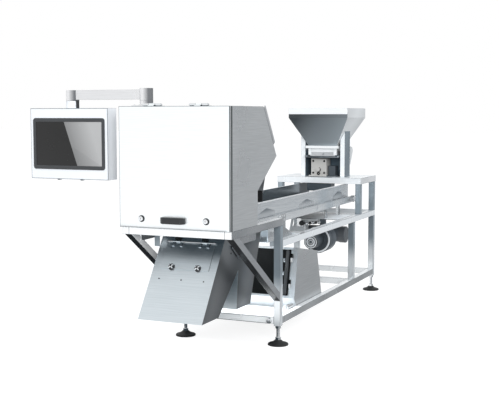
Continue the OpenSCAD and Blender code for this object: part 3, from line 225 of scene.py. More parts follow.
def tint_past(x_mm, side, tint):
    """A shade that changes to the tint where x is LESS_THAN or GREATER_THAN x_mm, as side says."""
    def shade(tree, where, colour):
        here = add(tree, "ShaderNodeSeparateXYZ", None, {0: where})
        past = add(
            tree, "ShaderNodeMath", {1: float(ORIGIN[0]) + x_mm / 1000}, {0: here.outputs["X"]},
            operation=side,
        )
        return add(
            tree, "ShaderNodeMix", {7: linear(tint)}, {0: past.outputs[0], 6: colour}, data_type="RGBA"
        ).outputs[2]
    return shade


def tint_facing(direction, low, high, tint):
    """A shade that changes to the tint on faces that look in a direction, from low to high squareness."""
    def shade(tree, where, colour):
        mask = add(
            tree, "ShaderNodeMapRange", {"From Min": low, "From Max": high},
            {"Value": looking(tree, direction)},
        )
        return add(
            tree, "ShaderNodeMix", {7: linear(tint)}, {0: mask.outputs["Result"], 6: colour},
            data_type="RGBA",
        ).outputs[2]
    return shade


def painted_side_shade(dark, light, low=0.8, high=0.95):
    """A painted shade that darkens the faces across the machine, with a slow slanting band of painted
    reflection that repeats each band_mm: the wave texture repeats each pi / 10 of its scale."""
    band_mm, band_lean = 349.07, math.radians(35)

    def shade(tree, where, colour):
        side = add(tree, "ShaderNodeMath", None, {0: looking(tree, X)}, operation="ABSOLUTE")
        mask = add(
            tree, "ShaderNodeMapRange", {"From Min": low, "From Max": high}, {"Value": side.outputs[0]}
        )
        tilted = add(tree, "ShaderNodeMapping", {"Rotation": (band_lean, 0, 0)}, {"Vector": where})
        slant = add(
            tree, "ShaderNodeTexWave",
            {"Scale": 1000 * math.pi / 10 / band_mm, "Distortion": 1.5, "Detail": 1.0},
            {"Vector": tilted.outputs["Vector"]}, bands_direction="Y",
        )
        side_tone = add(
            tree, "ShaderNodeMix", {6: linear(dark), 7: linear(light)}, {0: slant.outputs["Fac"]},
            data_type="RGBA",
        )
        return add(
            tree, "ShaderNodeMix", None, {0: mask.outputs["Result"], 6: colour, 7: side_tone.outputs[2]},
            data_type="RGBA",
        ).outputs[2]
    return shade


def layered(*shades):
    """Shades laid one over another, the last on top."""
    def shade(tree, where, colour):
        for layer in shades:
            colour = layer(tree, where, colour)
        return colour
    return shade


def lofted(rings):
    """Closed rings joined one to the next: a quad spans points j, j + 1 of rings i, i + 1.
    Caps close both ends."""
    rings = np.asarray(rings, float)
    count, size = rings.shape[:2]
    i, j = np.meshgrid(np.arange(count - 1), np.arange(size), indexing="ij")
    k = (j + 1) % size
    quads = np.stack([i * size + j, i * size + k, (i + 1) * size + k, (i + 1) * size + j], -1)
    last = (count - 1) * size
    caps = [np.arange(size)[::-1].tolist(), (last + np.arange(size)).tolist()]
    return rings.reshape(-1, 3), quads.reshape(-1, 4).tolist() + caps


def prism(outline, x0, x1):
    """A plate whose (y, z) outline runs from x0 to x1."""
    flat = np.array(outline, float)
    return lofted([np.column_stack([np.full(len(flat), x), flat]) for x in (x0, x1)])


def oblong(y0, y1, z0, z1):
    """The (y, z) outline of a rectangle."""
    return [(y0, z0), (y1, z0), (y1, z1), (y0, z1)]


def piece(name, shells, material, body, replaces=(), sharp=35):
    """One object from shells given in machine millimetres: doubles merged, faces turned outwards, edges
    above the sharp angle kept crisp. It rides on its body and may stand for CAD nodes."""
    starts = np.cumsum([0] + [len(points) for points, faces in shells])
    points = np.concatenate([points for points, faces in shells]) / 1000 + ORIGIN
    faces = [[i + start for i in face] for start, shell in zip(starts, shells) for face in shell[1]]
    mesh = bpy.data.meshes.new(name)
    mesh.from_pydata(points.tolist(), [], faces)
    made = bmesh.new()
    made.from_mesh(mesh)
    bmesh.ops.remove_doubles(made, verts=made.verts, dist=1e-6)
    bmesh.ops.recalc_face_normals(made, faces=made.faces)
    made.to_mesh(mesh)
    made.free()
    mesh.shade_smooth()
    mesh.set_sharp_from_angle(angle=math.radians(sharp))
    mesh.materials.append(material)
    obj = bpy.data.objects.new(name, mesh)
    bpy.context.scene.collection.objects.link(obj)
    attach(obj, body)
    if replaces:
        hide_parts(*replaces)
    return obj


# Painted edge shade: a matt grey on the bevels, so that it draws a thin dark line of painted shade along
# every tube and fold.
painted_edge_shade = coated("grey_painted_edge_shade", "#5f6468", "#505559", 0.6)
# Ground stainless on the posts: bright near the floor, and painted slate higher up as a reflection of the
# room.
tube_upright = brushed_steel(
    "ground_stainless_upright", "#fafdff", "#eaf0f4", ALONG_Z, 0.20, metal=0.6,
    shade=tint_above(low=280, high=420, tint="#97a3ab"),
)
# Ground stainless on the rails: pale and streaked, with sides painted darker as shade on the low rails, and
# the higher rails painted an even pale grey as a reflection.
tube_level = brushed_steel(
    "ground_stainless_level", "#fbfdfe", "#eff3f5", ALONG_Y, 0.26, metal=0.25,
    shade=layered(painted_side_shade("#8f9294", "#9c9fa1"), tint_above(low=300, high=500, tint="#e2e6e9")),
)
# Ground stainless on the beams and plates: nearly white, with sides painted grey as shade.
beam_level = brushed_steel(
    "ground_stainless_beam", "#fdfeff", "#f3f6f8", ALONG_Y, 0.26, metal=0.8,
    shade=painted_side_shade("#9a9ea1", "#a7aaad"),
)
# Ground stainless on the braces: painted grey on the right and pale on the left as reflections, and painted
# nearly black underneath as shade.
tube_brace = brushed_steel(
    "ground_stainless_brace", "#8b8e91", "#7c7f82", ALONG_Y, 0.24, metal=0.15,
    shade=layered(tint_past(0, "LESS_THAN", "#ffffff"), tint_facing(-Z, low=0.4, high=0.6, tint="#2c2d2f")),
)
dress("frame_posts", tube_upright, 2.2, painted_edge_shade)
dress("frame_rails", tube_level, 2.6, painted_edge_shade)
dress("cabinet_beams", beam_level, 1.0, painted_edge_shade)
dress("diagonal_braces", tube_brace, 2.0)
dress("frame_plates conveyor_supports", beam_level, 0.5)
# Two thin dark strips on the front rail's top and bottom edges are painted shade, standing in for the
# shading of its edges.
rail_low = box_mm("frame_rails")[0]
shade_line_out, shade_line_high, shade_line_reach = 1.4, 3.0, 258.0
rail_shade_lines = [
    prism(oblong(rail_low[1] - shade_line_out, rail_low[1], z, z + shade_line_high), -shade_line_reach, shade_line_reach)
    for z in (rail_low[2], rail_low[2] + TUBE - shade_line_high)
]
piece("front_rail_painted_shade_lines", rail_shade_lines, painted_edge_shade, "frame")

# Base pan and shelf: flat plates folded from steel sheet, which lie between the rails.
# They are enamelled white all over, and their folded edges carry a grey line of painted shade.
# Enamel on sheet: white, with a smooth soft shine.
enamel = coated("white_enamelled_plate", "#f4f8fb", "#e9eff4", 0.35)
dress("floor_plates", enamel, 1.9, painted_edge_shade)

# Levelling feet: moulded rubber pads on chromed threaded stems, screwed into the legs' end plates.
# The stem's thread is turned, a ridge each 2.5 mm; the pad is matt with a faint moulded grain.
thread_pitch, thread_depth, thread_r = 2.5, 1.2, 10.4
thread_low, thread_high = 46.0, 96.0


def turned(profile, centre, axis, count=40):
    """A turned part: each (radius, height) of the profile goes round the axis, at
    centre + height * axis + radius * (cos a * u + sin a * v)."""
    axis = np.array(axis, float) / np.linalg.norm(axis)
    u = np.cross(axis, Z if abs(axis[2]) < 0.9 else X)
    u = u / np.linalg.norm(u)
    a = np.linspace(0, 2 * np.pi, count, endpoint=False)[:, None]
    circle = np.cos(a) * u + np.sin(a) * np.cross(axis, u)
    r, h = np.array(profile, float).T[:, :, None, None]
    return lofted(np.array(centre, float) + h * axis + r * circle)


# Moulded rubber: soft black with hardly a highlight.
rubber = coated("black_rubber", "#232425", "#161718", 0.62)
# Chrome plate: a bright mirror on all the small turned parts.
chrome = coated("polished_chrome", "#eceef0", "#dfe2e5", 0.09, metallic=1.0, bump=0.0)
dress("foot_pads", rubber, 1.5)
dress("foot_stems", chrome, 0.8)
post_low, post_high = box_mm("frame_posts")
leg_low, leg_high = post_low + TUBE / 2, post_high - TUBE / 2
legs = [(x, y, 0) for x in (leg_low[0], leg_high[0]) for y in (leg_low[1], leg_high[1])]
turns = np.arange(thread_low, thread_high, thread_pitch / 2)
ridge = np.where(np.arange(len(turns)) % 2, thread_r, thread_r - thread_depth)
thread = np.stack([ridge, turns], -1)
piece("stem_threads", [turned(thread, leg, Z, 24) for leg in legs], chrome, "frame")

# Cabinet: side, top and rear panels folded from stainless sheet with a level brushed grain.
# The rear hatch lies on the slope, with a hem and a rubber gasket along each side.
# A rubber curtain closes the belt's inlet; the camera and the lamp bars are fixed inside.
panel_high = box_mm("side_panels")[1]
slope_top = box_mm("top_panel")[1][1:]
slope_run, slope_fall = panel_high[1] - slope_top[0], 274.0
SLOPE_DOWN = np.array([slope_run, -slope_fall]) / math.hypot(slope_run, slope_fall)
SLOPE_OUT = np.array([slope_fall, slope_run]) / math.hypot(slope_run, slope_fall)
hatch_half = box_mm("rear_hatch")[1][0]
hatch_near, hem_far, gasket_far = 14.0, 260.0, 258.0
hem_inside, hem_outside, gasket_wide = 4.0, 2.0, 8.0
hem_rise, gasket_rise = (9.0, 30.0), (2.0, 10.0)


def slope_strip(near, far, low, high):
    """The (y, z) outline of a strip on the rear slope: near to far down it, low to high out of it."""
    corners = ((near, low), (far, low), (far, high), (near, high))
    return [slope_top + down * SLOPE_DOWN + out * SLOPE_OUT for down, out in corners]


def both_sides(inner, outer):
    """The spans from inner to outer on the left and on the right of the machine's middle."""
    return (-outer, -inner), (inner, outer)


# Brushed sheet: an even mid grey with short level streaks.
sheet_level = brushed_steel("brushed_stainless_sheet", "#d3d6d8", "#c2c5c7", ALONG_Y, 0.30, 3.0)
# Bright brushed sheet: almost white, its grain just to be seen.
bright_sheet = brushed_steel("bright_brushed_sheet", "#fcfeff", "#f1f7fa", ALONG_X, 0.34, bump=0.015)
# Black anodised aluminium: dark, with a soft sheen.
black_anodised = coated("black_anodised_aluminium", "#2b2d30", "#202225", 0.4)
# Opal acrylic: a milky white that hides the lamps behind it.
opal = coated("opal_acrylic", "#eef2f6", "#e4e9ee", 0.4)
dress("side_panels rear_panel rear_hatch", sheet_level, 0.8, painted_edge_shade)
dress("top_panel", bright_sheet, 1.0, painted_edge_shade)
dress("inlet_curtain door_seal", rubber, 0.5)
dress("camera_unit", black_anodised, 0.8)
dress("led_bars", opal, 0.5)
hem_strip = slope_strip(hatch_near, hem_far, *hem_rise)
hems = [prism(hem_strip, *span) for span in both_sides(hatch_half - hem_inside, hatch_half + hem_outside)]
piece("hatch_hems", hems, sheet_level, "rear_hatch")
gasket_strip = slope_strip(hatch_near, gasket_far, *gasket_rise)
gaskets = [prism(gasket_strip, *span) for span in both_sides(hatch_half - gasket_wide, hatch_half)]
piece("hatch_gaskets", gaskets, rubber, "rear_hatch")

# Front door: one folded bright sheet, hung on two chromed hinges at its top edge.
# Its sides are painted with a pale highlight between two dark lines of shade, as a rib between two grooves
# would show.
# A moulded black pull is screwed on low down, between two chromed quarter-turn locks.
sheet_low, sheet_high = box_mm("front_door")
door_top = slope_top[1]
door_rim = 3.4
rib_middle, rib_half = 13.0, 4.0


def painted_rim_shade(low, high, rim_mm):
    """A painted shade that darkens the folded rim of a front face as shade along its edge: points within
    rim_mm of the rectangle between its (x, z) corners, below its top and on faces that look forwards."""
    full_share, front_least, top_spare = 0.4, 0.7, 1.0
    centre, half = (np.array(low) + high) / 2, (np.array(high) - low) / 2
    middle = centre / 1000 + ORIGIN[[0, 2]]

    def shade(tree, where, colour):
        here = add(tree, "ShaderNodeSeparateXYZ", None, {0: where})
        lines = []
        for axis, at, reach in zip("XZ", middle, half):
            off = add(
                tree, "ShaderNodeMath", {1: float(at)}, {0: here.outputs[axis]}, operation="SUBTRACT"
            )
            far = add(tree, "ShaderNodeMath", None, {0: off.outputs[0]}, operation="ABSOLUTE")
            rim_from, rim_full = (reach - rim_mm) / 1000, (reach - rim_mm * full_share) / 1000
            lines.append(add(
                tree, "ShaderNodeMapRange", {"From Min": rim_from, "From Max": rim_full},
                {"Value": far.outputs[0]},
            ).outputs["Result"])
        front = add(
            tree, "ShaderNodeMath", {1: front_least}, {0: looking(tree, -Y)}, operation="GREATER_THAN"
        )
        under_top = add(
            tree, "ShaderNodeMath", {1: (high[1] + top_spare) / 1000}, {0: here.outputs["Z"]},
            operation="LESS_THAN",
        )
        face = add(
            tree, "ShaderNodeMath", None, {0: front.outputs[0], 1: under_top.outputs[0]},
            operation="MULTIPLY",
        )
        line = add(tree, "ShaderNodeMath", None, {0: lines[0], 1: lines[1]}, operation="MAXIMUM")
        rim = add(
            tree, "ShaderNodeMath", None, {0: line.outputs[0], 1: face.outputs[0]}, operation="MULTIPLY"
        )
        return add(
            tree, "ShaderNodeMix", {7: linear("#747c82")}, {0: rim.outputs[0], 6: colour},
            data_type="RGBA",
        ).outputs[2]
    return shade


def painted_rib_shading(tree, where, colour):
    """Painted light for the door's right and left sides: a pale highlight between two dark lines of painted
    shade, as a rib between two grooves would show.
    """
    side_least = 0.9
    side = add(tree, "ShaderNodeMath", None, {0: looking(tree, X)}, operation="ABSOLUTE")
    mask = add(tree, "ShaderNodeMath", {1: side_least}, {0: side.outputs[0]}, operation="GREATER_THAN")
    here = add(tree, "ShaderNodeSeparateXYZ", None, {0: where})
    rib = add(
        tree, "ShaderNodeMath", {1: float(ORIGIN[1]) + rib_middle / 1000, 2: rib_half / 1000},
        {0: here.outputs["Y"]}, operation="COMPARE",
    )
    fold = add(
        tree, "ShaderNodeMix", {6: linear("#3f4447"), 7: linear("#d5d9db")}, {0: rib.outputs[0]},
        data_type="RGBA",
    )
    return add(
        tree, "ShaderNodeMix", None, {0: mask.outputs[0], 6: colour, 7: fold.outputs[2]}, data_type="RGBA"
    ).outputs[2]


# Bright brushed door sheet: almost white, with painted shade round its folded rim and a painted rib on its
# sides.
door_sheet = brushed_steel(
    "bright_brushed_door_sheet", "#fcfeff", "#f3f9fb", ALONG_X, 0.34, bump=0.015, metal=0.8,
    shade=layered(painted_rim_shade(sheet_low[[0, 2]], (sheet_high[0], door_top), door_rim), painted_rib_shading),
)
# Moulded plastic: near black with a broad dull highlight.
black_plastic = coated("black_moulded_plastic", "#26282a", "#1a1c1e", 0.38)
dress("front_door", door_sheet, 1.6, painted_edge_shade)
dress("door_hinges", chrome, 0.4)


def rounded(wide, high, corner, steps=5):
    """Rounded rectangle: a quarter circle of the corner radius at each corner of a wide by high one."""
    a = (np.arange(4)[:, None] * np.pi / 2 + np.linspace(0, np.pi / 2, steps)).ravel()
    x = np.repeat([1, -1, -1, 1], steps) * (wide / 2 - corner)
    y = np.repeat([1, 1, -1, -1], steps) * (high / 2 - corner)
    return np.stack([x + corner * np.cos(a), y + corner * np.sin(a)], -1)


def slab(centre, u, v, wide, high, deep, corner=1.0, edge=0.6):
    """A plate: a rounded outline along u and v, raised along u x v, its upper edge rounded over."""
    axes = np.array([u, v], float)
    round_share, least_corner = 0.3, 0.2
    round_over = edge * round_share
    steps = [(0, 0), (0, deep - edge), (round_over, deep - round_over), (edge, deep)]
    rings = []
    for inset, rise in steps:
        outline = rounded(wide - 2 * inset, high - 2 * inset, max(corner - inset, least_corner))
        rings.append(np.array(centre, float) + outline @ axes + rise * np.cross(*axes))
    return lofted(rings)


pull_z = np.mean(box_mm("door_handle"), 0)[2]
pull_half = [(69, 10, 28), (67, 18, 32), (50, 30, 34)]
pull_steps = [(-x, out, high) for x, out, high in pull_half] + pull_half[::-1]
pull = [
    np.array([x, -out / 2, pull_z]) + rounded(out, high, corner=4.0) @ np.array([-Y, Z])
    for x, out, high in pull_steps
]
piece("door_pull", [lofted(pull)], black_plastic, "front_door", ["door_handle"])
dress("left_lock right_lock", chrome, 0.6)
lock_r, lock_front, keyhole_front, gasket_back = 13.0, -8.5, -12.7, -0.2
lock_profile = [
    (lock_r, 0), (lock_r, 2.0), (11.5, 3.6), (9.5, 3.8), (9.0, 3.0), (7.0, 3.0), (5.0, 4.0), (0, 4.4),
]
gasket_profile = [(18, 0), (18, 1.2), (17, 1.8), (12.5, 1.8)]
for lock in ("left_lock", "right_lock"):
    lock_low, lock_high = box_mm(lock)
    lock_x, lock_z = (lock_low[0] + lock_high[0]) / 2, lock_high[2] - lock_r
    lock_face = turned(lock_profile, (lock_x, lock_front, lock_z), -Y)
    piece(lock + "_face", [lock_face], chrome, lock)
    gasket = turned(gasket_profile, (lock_x, gasket_back, lock_z), -Y)
    piece(lock + "_gasket", [gasket], black_plastic, "front_door")
    keyhole = slab((lock_x, keyhole_front, lock_z), X, Z, 2.2, 8.0, deep=0.6, corner=0.6, edge=0.2)
    piece(lock + "_keyhole", [keyhole], black_plastic, lock)

# Display arm: a turned post on a base plate carries a swing arm of tube and bar.
# Both are steel with a satin plating; the base and the door's hinges are screwed to the top panel.
dome = [(1.0, 0), (1.0, 0.35), (0.85, 0.75), (0.5, 0.97), (0, 1.0)]


def screw(centre, axis, radius, height, count=14):
    """A round screw head: the unit dome stretched to the radius and height."""
    return turned([(r * radius, h * height) for r, h in dome], centre, axis, count)


# Satin plating: pale, and painted grey on the faces that look right, as a reflection of a wall.
arm_metal = brushed_steel(
    "satin_plated_steel", "#eeeeef", "#e4e4e5", ALONG_X, 0.3, bump=0.01, metal=0.6,
    shade=tint_facing(X, low=-0.1, high=0.7, tint="#727477"),
)
dress("arm_post swing_arm", arm_metal, 2.2, painted_edge_shade)
base_low, base_high = box_mm("arm_post")
base_inset, base_thick, hinge_leaf = 11.0, 6.0, 2.0
screws_low, screws_high = base_low + base_inset, base_high - base_inset
base_screws = [
    screw((x, y, base_low[2] + base_thick), Z, radius=5, height=3.5)
    for x in (screws_low[0], screws_high[0]) for y in (screws_low[1], screws_high[1])
]
hinge_x, hinge_y, hinge_pitch = 135.0, 56.0, 38.0
hinge_screws = [
    screw((x + dx, hinge_y, door_top + hinge_leaf), Z, radius=4, height=3)
    for x in (-hinge_x, hinge_x) for dx in (-hinge_pitch, 0, hinge_pitch)
]
piece("top_screws", base_screws + hinge_screws, chrome, "frame")

# Display: a folded steel box with a white powder coat, which turns on a neck under the arm's end.
# A sleeve and a moulded stop sit round the neck.
# The touch panel's glass lies 2 mm deep in a frame that is moulded with rounded corners.
housing_low, housing_high = box_mm("monitor_housing")
housing_x, housing_y = (housing_low + housing_high)[:2] / 2
face_low, face_high = 974.0, 1362.0
display = np.array([housing_x, housing_low[1], (face_low + face_high) / 2])
display_rim = 4.4
# Powder coat: a matt clean white, with a grey line of painted shade round the folded rim.
white_coat = coated(
    "white_powder_coat", "#fafcff", "#f2f6fb", 0.42,
    shade=painted_rim_shade((housing_low[0], face_low), (housing_high[0], face_high), display_rim),
)
# Moulded plastic: charcoal, with a fine grain that keeps it dull.
charcoal = coated("charcoal_moulded_plastic", "#3f4144", "#37393b", 0.5)
dress("monitor_housing", white_coat, 2.8, painted_edge_shade)
sleeve_low, sleeve_high, sleeve_r, sleeve_bore, sleeve_break = face_high + 0.5, 1403.0, 29.0, 24.0, 1.0
sleeve = [
    (sleeve_bore, sleeve_low), (sleeve_r, sleeve_low), (sleeve_r, sleeve_high - sleeve_break),
    (sleeve_r - sleeve_break, sleeve_high), (sleeve_bore, sleeve_high),
]
neck_sleeve = turned(sleeve, (housing_x, housing_y, 0), Z, 48)
piece("neck_sleeve", [neck_sleeve], arm_metal, "monitor")
stop_place = (housing_x + 45, housing_y - 18, 1383.5)
neck_stop = slab(stop_place, X, Z, wide=18, high=41, deep=5, corner=1.5, edge=0.6)
piece("neck_stop", [neck_stop], black_plastic, "monitor")


def tube_of(rings):
    """Rings joined as by lofted, without caps, for a frame whose last ring meets its first."""
    points, faces = lofted(rings)
    return points, faces[:-2]


# Each step is wide, high, corner, out: up the outside, over the face and down to the glass.
frame_steps = [
    (462, 281, 15, 0), (462, 281, 15, 3.4), (460.6, 279.6, 14.4, 4.6), (458, 277, 13, 5.0),
    (428, 243, 5, 5.0), (425, 240, 4, 4.2), (424, 239, 3, 3.0), (424, 239, 3, 1.0), (462, 281, 15, 0),
]
frame_rings = [
    display + rounded(wide, high, corner) @ np.array([X, Z]) - out * Y
    for wide, high, corner, out in frame_steps
]
piece(
    "display_frame", [tube_of(frame_rings)], charcoal, "monitor", ["monitor_screen"]
)


def display_glass():
    """Tinted glass with a painted reflection of the studio's soft window, a paler wedge: it begins at a
    sharp edge that leans by 0.35, where x + 0.35 z passes the edge's place, and grows paler over 160 mm."""
    lean, edge_mm, spread_mm, smear_mm = 0.35, 2.0, 160.0, 55.6
    start = float(ORIGIN[0]) - 0.2568
    material, tree, out, where = new_material("tinted_display_glass")
    across = add(tree, "ShaderNodeVectorMath", {1: (1, 0, lean)}, {0: where}, operation="DOT_PRODUCT")
    edge, spread = [
        add(
            tree, "ShaderNodeMapRange", {"From Min": start, "From Max": start + length / 1000},
            {"Value": across.outputs["Value"]},
        ).outputs["Result"]
        for length in (edge_mm, spread_mm)
    ]
    pale = add(
        tree, "ShaderNodeMix", {6: linear("#858585"), 7: linear("#b2b2b2")}, {0: spread}, data_type="RGBA"
    )
    tone = add(
        tree, "ShaderNodeMix", {6: linear("#272727")}, {0: edge, 7: pale.outputs[2]}, data_type="RGBA"
    )
    smear = add(tree, "ShaderNodeTexNoise", {"Scale": 1000 / smear_mm, "Detail": 3.0}, {"Vector": where})
    gloss = add(
        tree, "ShaderNodeMapRange", {"To Min": 0.22, "To Max": 0.3}, {"Value": smear.outputs["Fac"]}
    )
    skin = add(
        tree, "ShaderNodeBsdfPrincipled", {"Specular IOR Level": 0.25},
        {"Base Color": tone.outputs[2], "Roughness": gloss.outputs["Result"]},
    )
    tree.links.new(skin.outputs["BSDF"], out.inputs["Surface"])
    return material


pane = slab(display - Y, X, Z, wide=424.5, high=239.5, deep=2.0, corner=3.0, edge=0.2)
piece("display_glass", [pane], display_glass(), "monitor")

# Chute: a two-legged hopper of smooth stainless sheet that divides sound grain from rejects.
# Its front has an inspection hatch on a piano hinge, held by two chromed star knobs on black hubs.
# Screws hold the wall and the sides; an enamelled cover hides the valves beside it.
wall_lean = math.radians(55.3)
WALL_UP = math.cos(wall_lean) * Y + math.sin(wall_lean) * Z
WALL_OUT = math.cos(wall_lean) * Z - math.sin(wall_lean) * Y
wall_foot = box_mm("chute_body")[0] * (Y + Z)
hinge_up, hinge_out, cover_up, knob_up, wall_screw_up = 463.0, 6.0, 486.0, 312.0, 240.8
chute_side = 187.0


def on_wall(x, up, out):
    """A point x across, up the chute's front wall from its foot and out of it."""
    return wall_foot + x * X + up * WALL_UP + out * WALL_OUT


# Smooth rolled sheet: a soft cool sheen on the front, and sides painted darker as shade, with slanting bands
# of painted reflection.
sheet_smooth = brushed_steel(
    "smooth_stainless_sheet", "#dde5ea", "#d0d9de", ALONG_X, 0.36, 4.0, 220.0, metal=1.0,
    shade=painted_side_shade("#606366", "#8b8e91"),
)
# Enamel: a pale blue-grey skin with a soft shine.
pale_enamel = coated("pale_blue_enamel", "#a3afb6", "#939fa6", 0.4)
dress("chute_body chute_hatch splitter ejector_bank", sheet_smooth, 0.4)
knuckles, knuckle_r, neck_r, knuckle_gap = 19, 4.6, 3.6, 1.0
ends = np.linspace(-141, 144, knuckles + 1)
left, right = ends[:-1], ends[1:]
along_hinge = np.stack([left, left + knuckle_gap, right - knuckle_gap, right], -1).ravel()
hinge_profile = np.stack([np.tile([neck_r, knuckle_r, knuckle_r, neck_r], knuckles), along_hinge], -1)
piano_hinge = turned(hinge_profile, on_wall(0, hinge_up, hinge_out), X, 20)
piece("piano_hinge", [piano_hinge], sheet_level, "chute_hatch")
covers = [
    slab(on_wall(x, cover_up, 0.1), X, WALL_UP, wide=34, high=26, deep=13, corner=4, edge=3)
    for x in (-85, 75)
]
piece("hinge_covers", covers, black_plastic, "frame")
lobe_count, star_r, lobe_r = 4, 11.5, 5.5
star_steps = [
    (0.5, 4.0), (0.62, 7.0), (0.95, 8.0), (1.0, 10.0), (1.0, 15.0), (0.9, 17.5), (0.55, 19.0), (0.02, 19.4),
]
hub_profile = [(18, 0.5), (18, 8), (16, 10), (5, 10), (5, 20), (4, 21), (0, 21)]
turn = np.linspace(0, 2 * np.pi, 48, endpoint=False)[:, None]
lobes = (star_r - lobe_r * np.cos(lobe_count * turn)) * (np.cos(turn) * X + np.sin(turn) * WALL_UP)
for side in ("left", "right"):
    knob = side + "_hatch_knob"
    knob_x = np.mean(box_mm(knob), 0)[0]
    star = lofted([on_wall(knob_x, knob_up, out) + share * lobes for share, out in star_steps])
    piece(side + "_star_knob", [star], chrome, knob, [knob])
    hub = turned(hub_profile, on_wall(knob_x, knob_up, 0), WALL_OUT, 32)
    piece(side + "_knob_hub", [hub], black_plastic, knob)
wall_screws = [
    screw(on_wall(x, wall_screw_up, 0), WALL_OUT, radius=4, height=2.5) for x in (-134, -2, 130)
]
side_places = ((305, 581), (330, 600), (300, 640))
side_screws = [screw((chute_side, y, z), X, radius=5, height=3) for y, z in side_places]
piece("chute_screws", wall_screws + side_screws, black_anodised, "frame")
valve_cover = slab((-206, 200, 658), X, Z, wide=32, high=90, deep=3, corner=1, edge=0.5)
piece("valve_cover", [valve_cover], pale_enamel, "frame")

# Belt: stainless side frames and guards carry a dark food belt between two rollers.
# Pressed clips hold the guards; end plates carry them on past the feeder, and their top edge is hemmed and
# painted white as a highlight.
# Cast bearing blocks are bolted to the ends of the side frames.
guard_low, guard_high = box_mm("side_guards")
guard_lap, plate_inner, plate_outer = 2.0, 163.2, 164.8
left_end, right_end = 2505.0, 2440.0
hem_start, hem_down, hem_up = 640.0, 5.0, 1.0
guard_hem_spans = ((-166, -164), (164.5, 166.5))


def painted_inner_shade(tree, where, colour):
    """Guard sheet whose inner faces, which look at the belt, are painted darker as shade: there the offset
    from the middle, in metres, times the normal's x is below -0.08."""
    here = add(tree, "ShaderNodeSeparateXYZ", None, {0: where})
    off = add(tree, "ShaderNodeMath", {1: float(ORIGIN[0])}, {0: here.outputs["X"]}, operation="SUBTRACT")
    inward = add(
        tree, "ShaderNodeMath", None, {0: off.outputs[0], 1: looking(tree, X)}, operation="MULTIPLY"
    )
    mask = add(
        tree, "ShaderNodeMapRange", {"From Min": -0.08, "From Max": -0.12}, {"Value": inward.outputs[0]}
    )
    return add(
        tree, "ShaderNodeMix", {7: linear("#8c969d")}, {0: mask.outputs["Result"], 6: colour},
        data_type="RGBA",
    ).outputs[2]


# Guard sheet: bright, with long level streaks.
sheet_guard = brushed_steel("guard_stainless_sheet", "#e6e9eb", "#cfd3d6", ALONG_Y, 0.24, 4.0, 260.0)
# The same sheet with its inner faces painted darker as shade.
guard_inside = brushed_steel(
    "guard_stainless_shaded_inside", "#dfe3e6", "#c6cbcf", ALONG_Y, 0.24, 4.0, 260.0, shade=painted_inner_shade
)
# Guard sheet in the feeder's shade: a flat slate grey.
shaded_guard = coated("shaded_stainless_sheet", "#6a747b", "#5a646b", 0.45)
# A rolled hem, painted white as the highlight along the guard's top edge.
hem_highlight_paint = coated("rolled_hem_painted_highlight", "#ffffff", "#f5f8fa", 0.4)
# Pressed steel clips: painted dark under their ridge as shade, and as bright as the guard at their foot.
clip_steel = brushed_steel(
    "pressed_stainless_clip", "#d6dadd", "#c4c9cd", ALONG_Y, 0.3,
    shade=tint_above(low=735, high=775, tint="#7d868d"),
)
# Belt rubber: dark blue-grey and matt.
belt_rubber = coated("dark_belt_rubber", "#3a4348", "#2d3539", 0.55)
# Polyurethane: a satin white timing belt.
polyurethane = coated("white_polyurethane", "#e9ecee", "#dde1e4", 0.5)
# Bead-blasted aluminium: pale, with a fine even grit.
pale_cast = coated("bead_blasted_aluminium", "#d2d5d7", "#c2c6c9", 0.42, 2.0, 0.6)
dress("conveyor_frames slider_bed lower_camera_box", sheet_guard, 0.5)
dress("side_guards", guard_inside, 0.5)
dress("conveyor_belt", belt_rubber, 0.4)
dress("head_roller tail_roller drive_pulley", sheet_level, 0.4)
dress("drive_belt", polyurethane, 0.4)
dress("roller_bearings", pale_cast, 1.2)
left_span, right_span = both_sides(plate_inner, plate_outer)
for side, end, span, sheet in (
    ("left", left_end, left_span, shaded_guard), ("right", right_end, right_span, guard_inside)
):
    plate = oblong(guard_high[1] - guard_lap, end, guard_low[2] + guard_lap, guard_high[2])
    piece(side + "_guard_end", [prism(plate, *span)], sheet, "frame")
guard_hem = oblong(hem_start, right_end, guard_high[2] - hem_down, guard_high[2] + hem_up)
piece("guard_hems", [prism(guard_hem, *span) for span in guard_hem_spans], hem_highlight_paint, "frame")
clip_inner, clip_outer, tab_z = 165.0, 168.5, 706.0
clip_high, clip_flat, left_drop, right_fall = 48.0, 6.0, 30.0, 26 / 140


def gable(y, z, left, right):
    """A clip's outline: a low gable with its ridge at (y, z), which reaches left and right of it."""
    foot = z - clip_high
    return [
        (y - left, foot), (y + right, foot), (y + right, z - right_fall * right), (y + clip_flat, z),
        (y - clip_flat, z), (y - left, z - left_drop),
    ]


ridges = [(861, 774, 150, 120), (1549, 773, 150, 132), (2218, 774, 150, 66)]
clips = [prism(gable(*ridge), clip_inner, clip_outer) for ridge in ridges]
frame_side = box_mm("conveyor_frames")[1][0]
tabs = [
    slab((frame_side, y, tab_z), Y, Z, wide=12, high=34, deep=2.0, corner=2, edge=0.5)
    for y in (981, 1683)
]
piece("guard_clips", clips + tabs, clip_steel, "frame")
bearing_side, bearing_z = box_mm("roller_bearings")[1][0], np.mean(box_mm("roller_bearings"), 0)[2]
roller_places = [np.mean(box_mm(roller), 0)[1] for roller in ("head_roller", "tail_roller")]
bolt_y, bolt_z = 24.0, 20.0
block_bolts = [
    screw((bearing_side, y + dy, bearing_z + dz), X, radius=5.5, height=5)
    for y in roller_places for dy in (-bolt_y, bolt_y) for dz in (-bolt_z, bolt_z)
]
piece("bearing_bolts", block_bolts, black_anodised, "frame")
cap_profile = [(17, 0), (17, 3), (15, 4.5), (11, 4.5), (10, 2), (6, 2), (5, 6), (0, 6)]
caps = [turned(cap_profile, (bearing_side, y, bearing_z), X, 28) for y in roller_places]
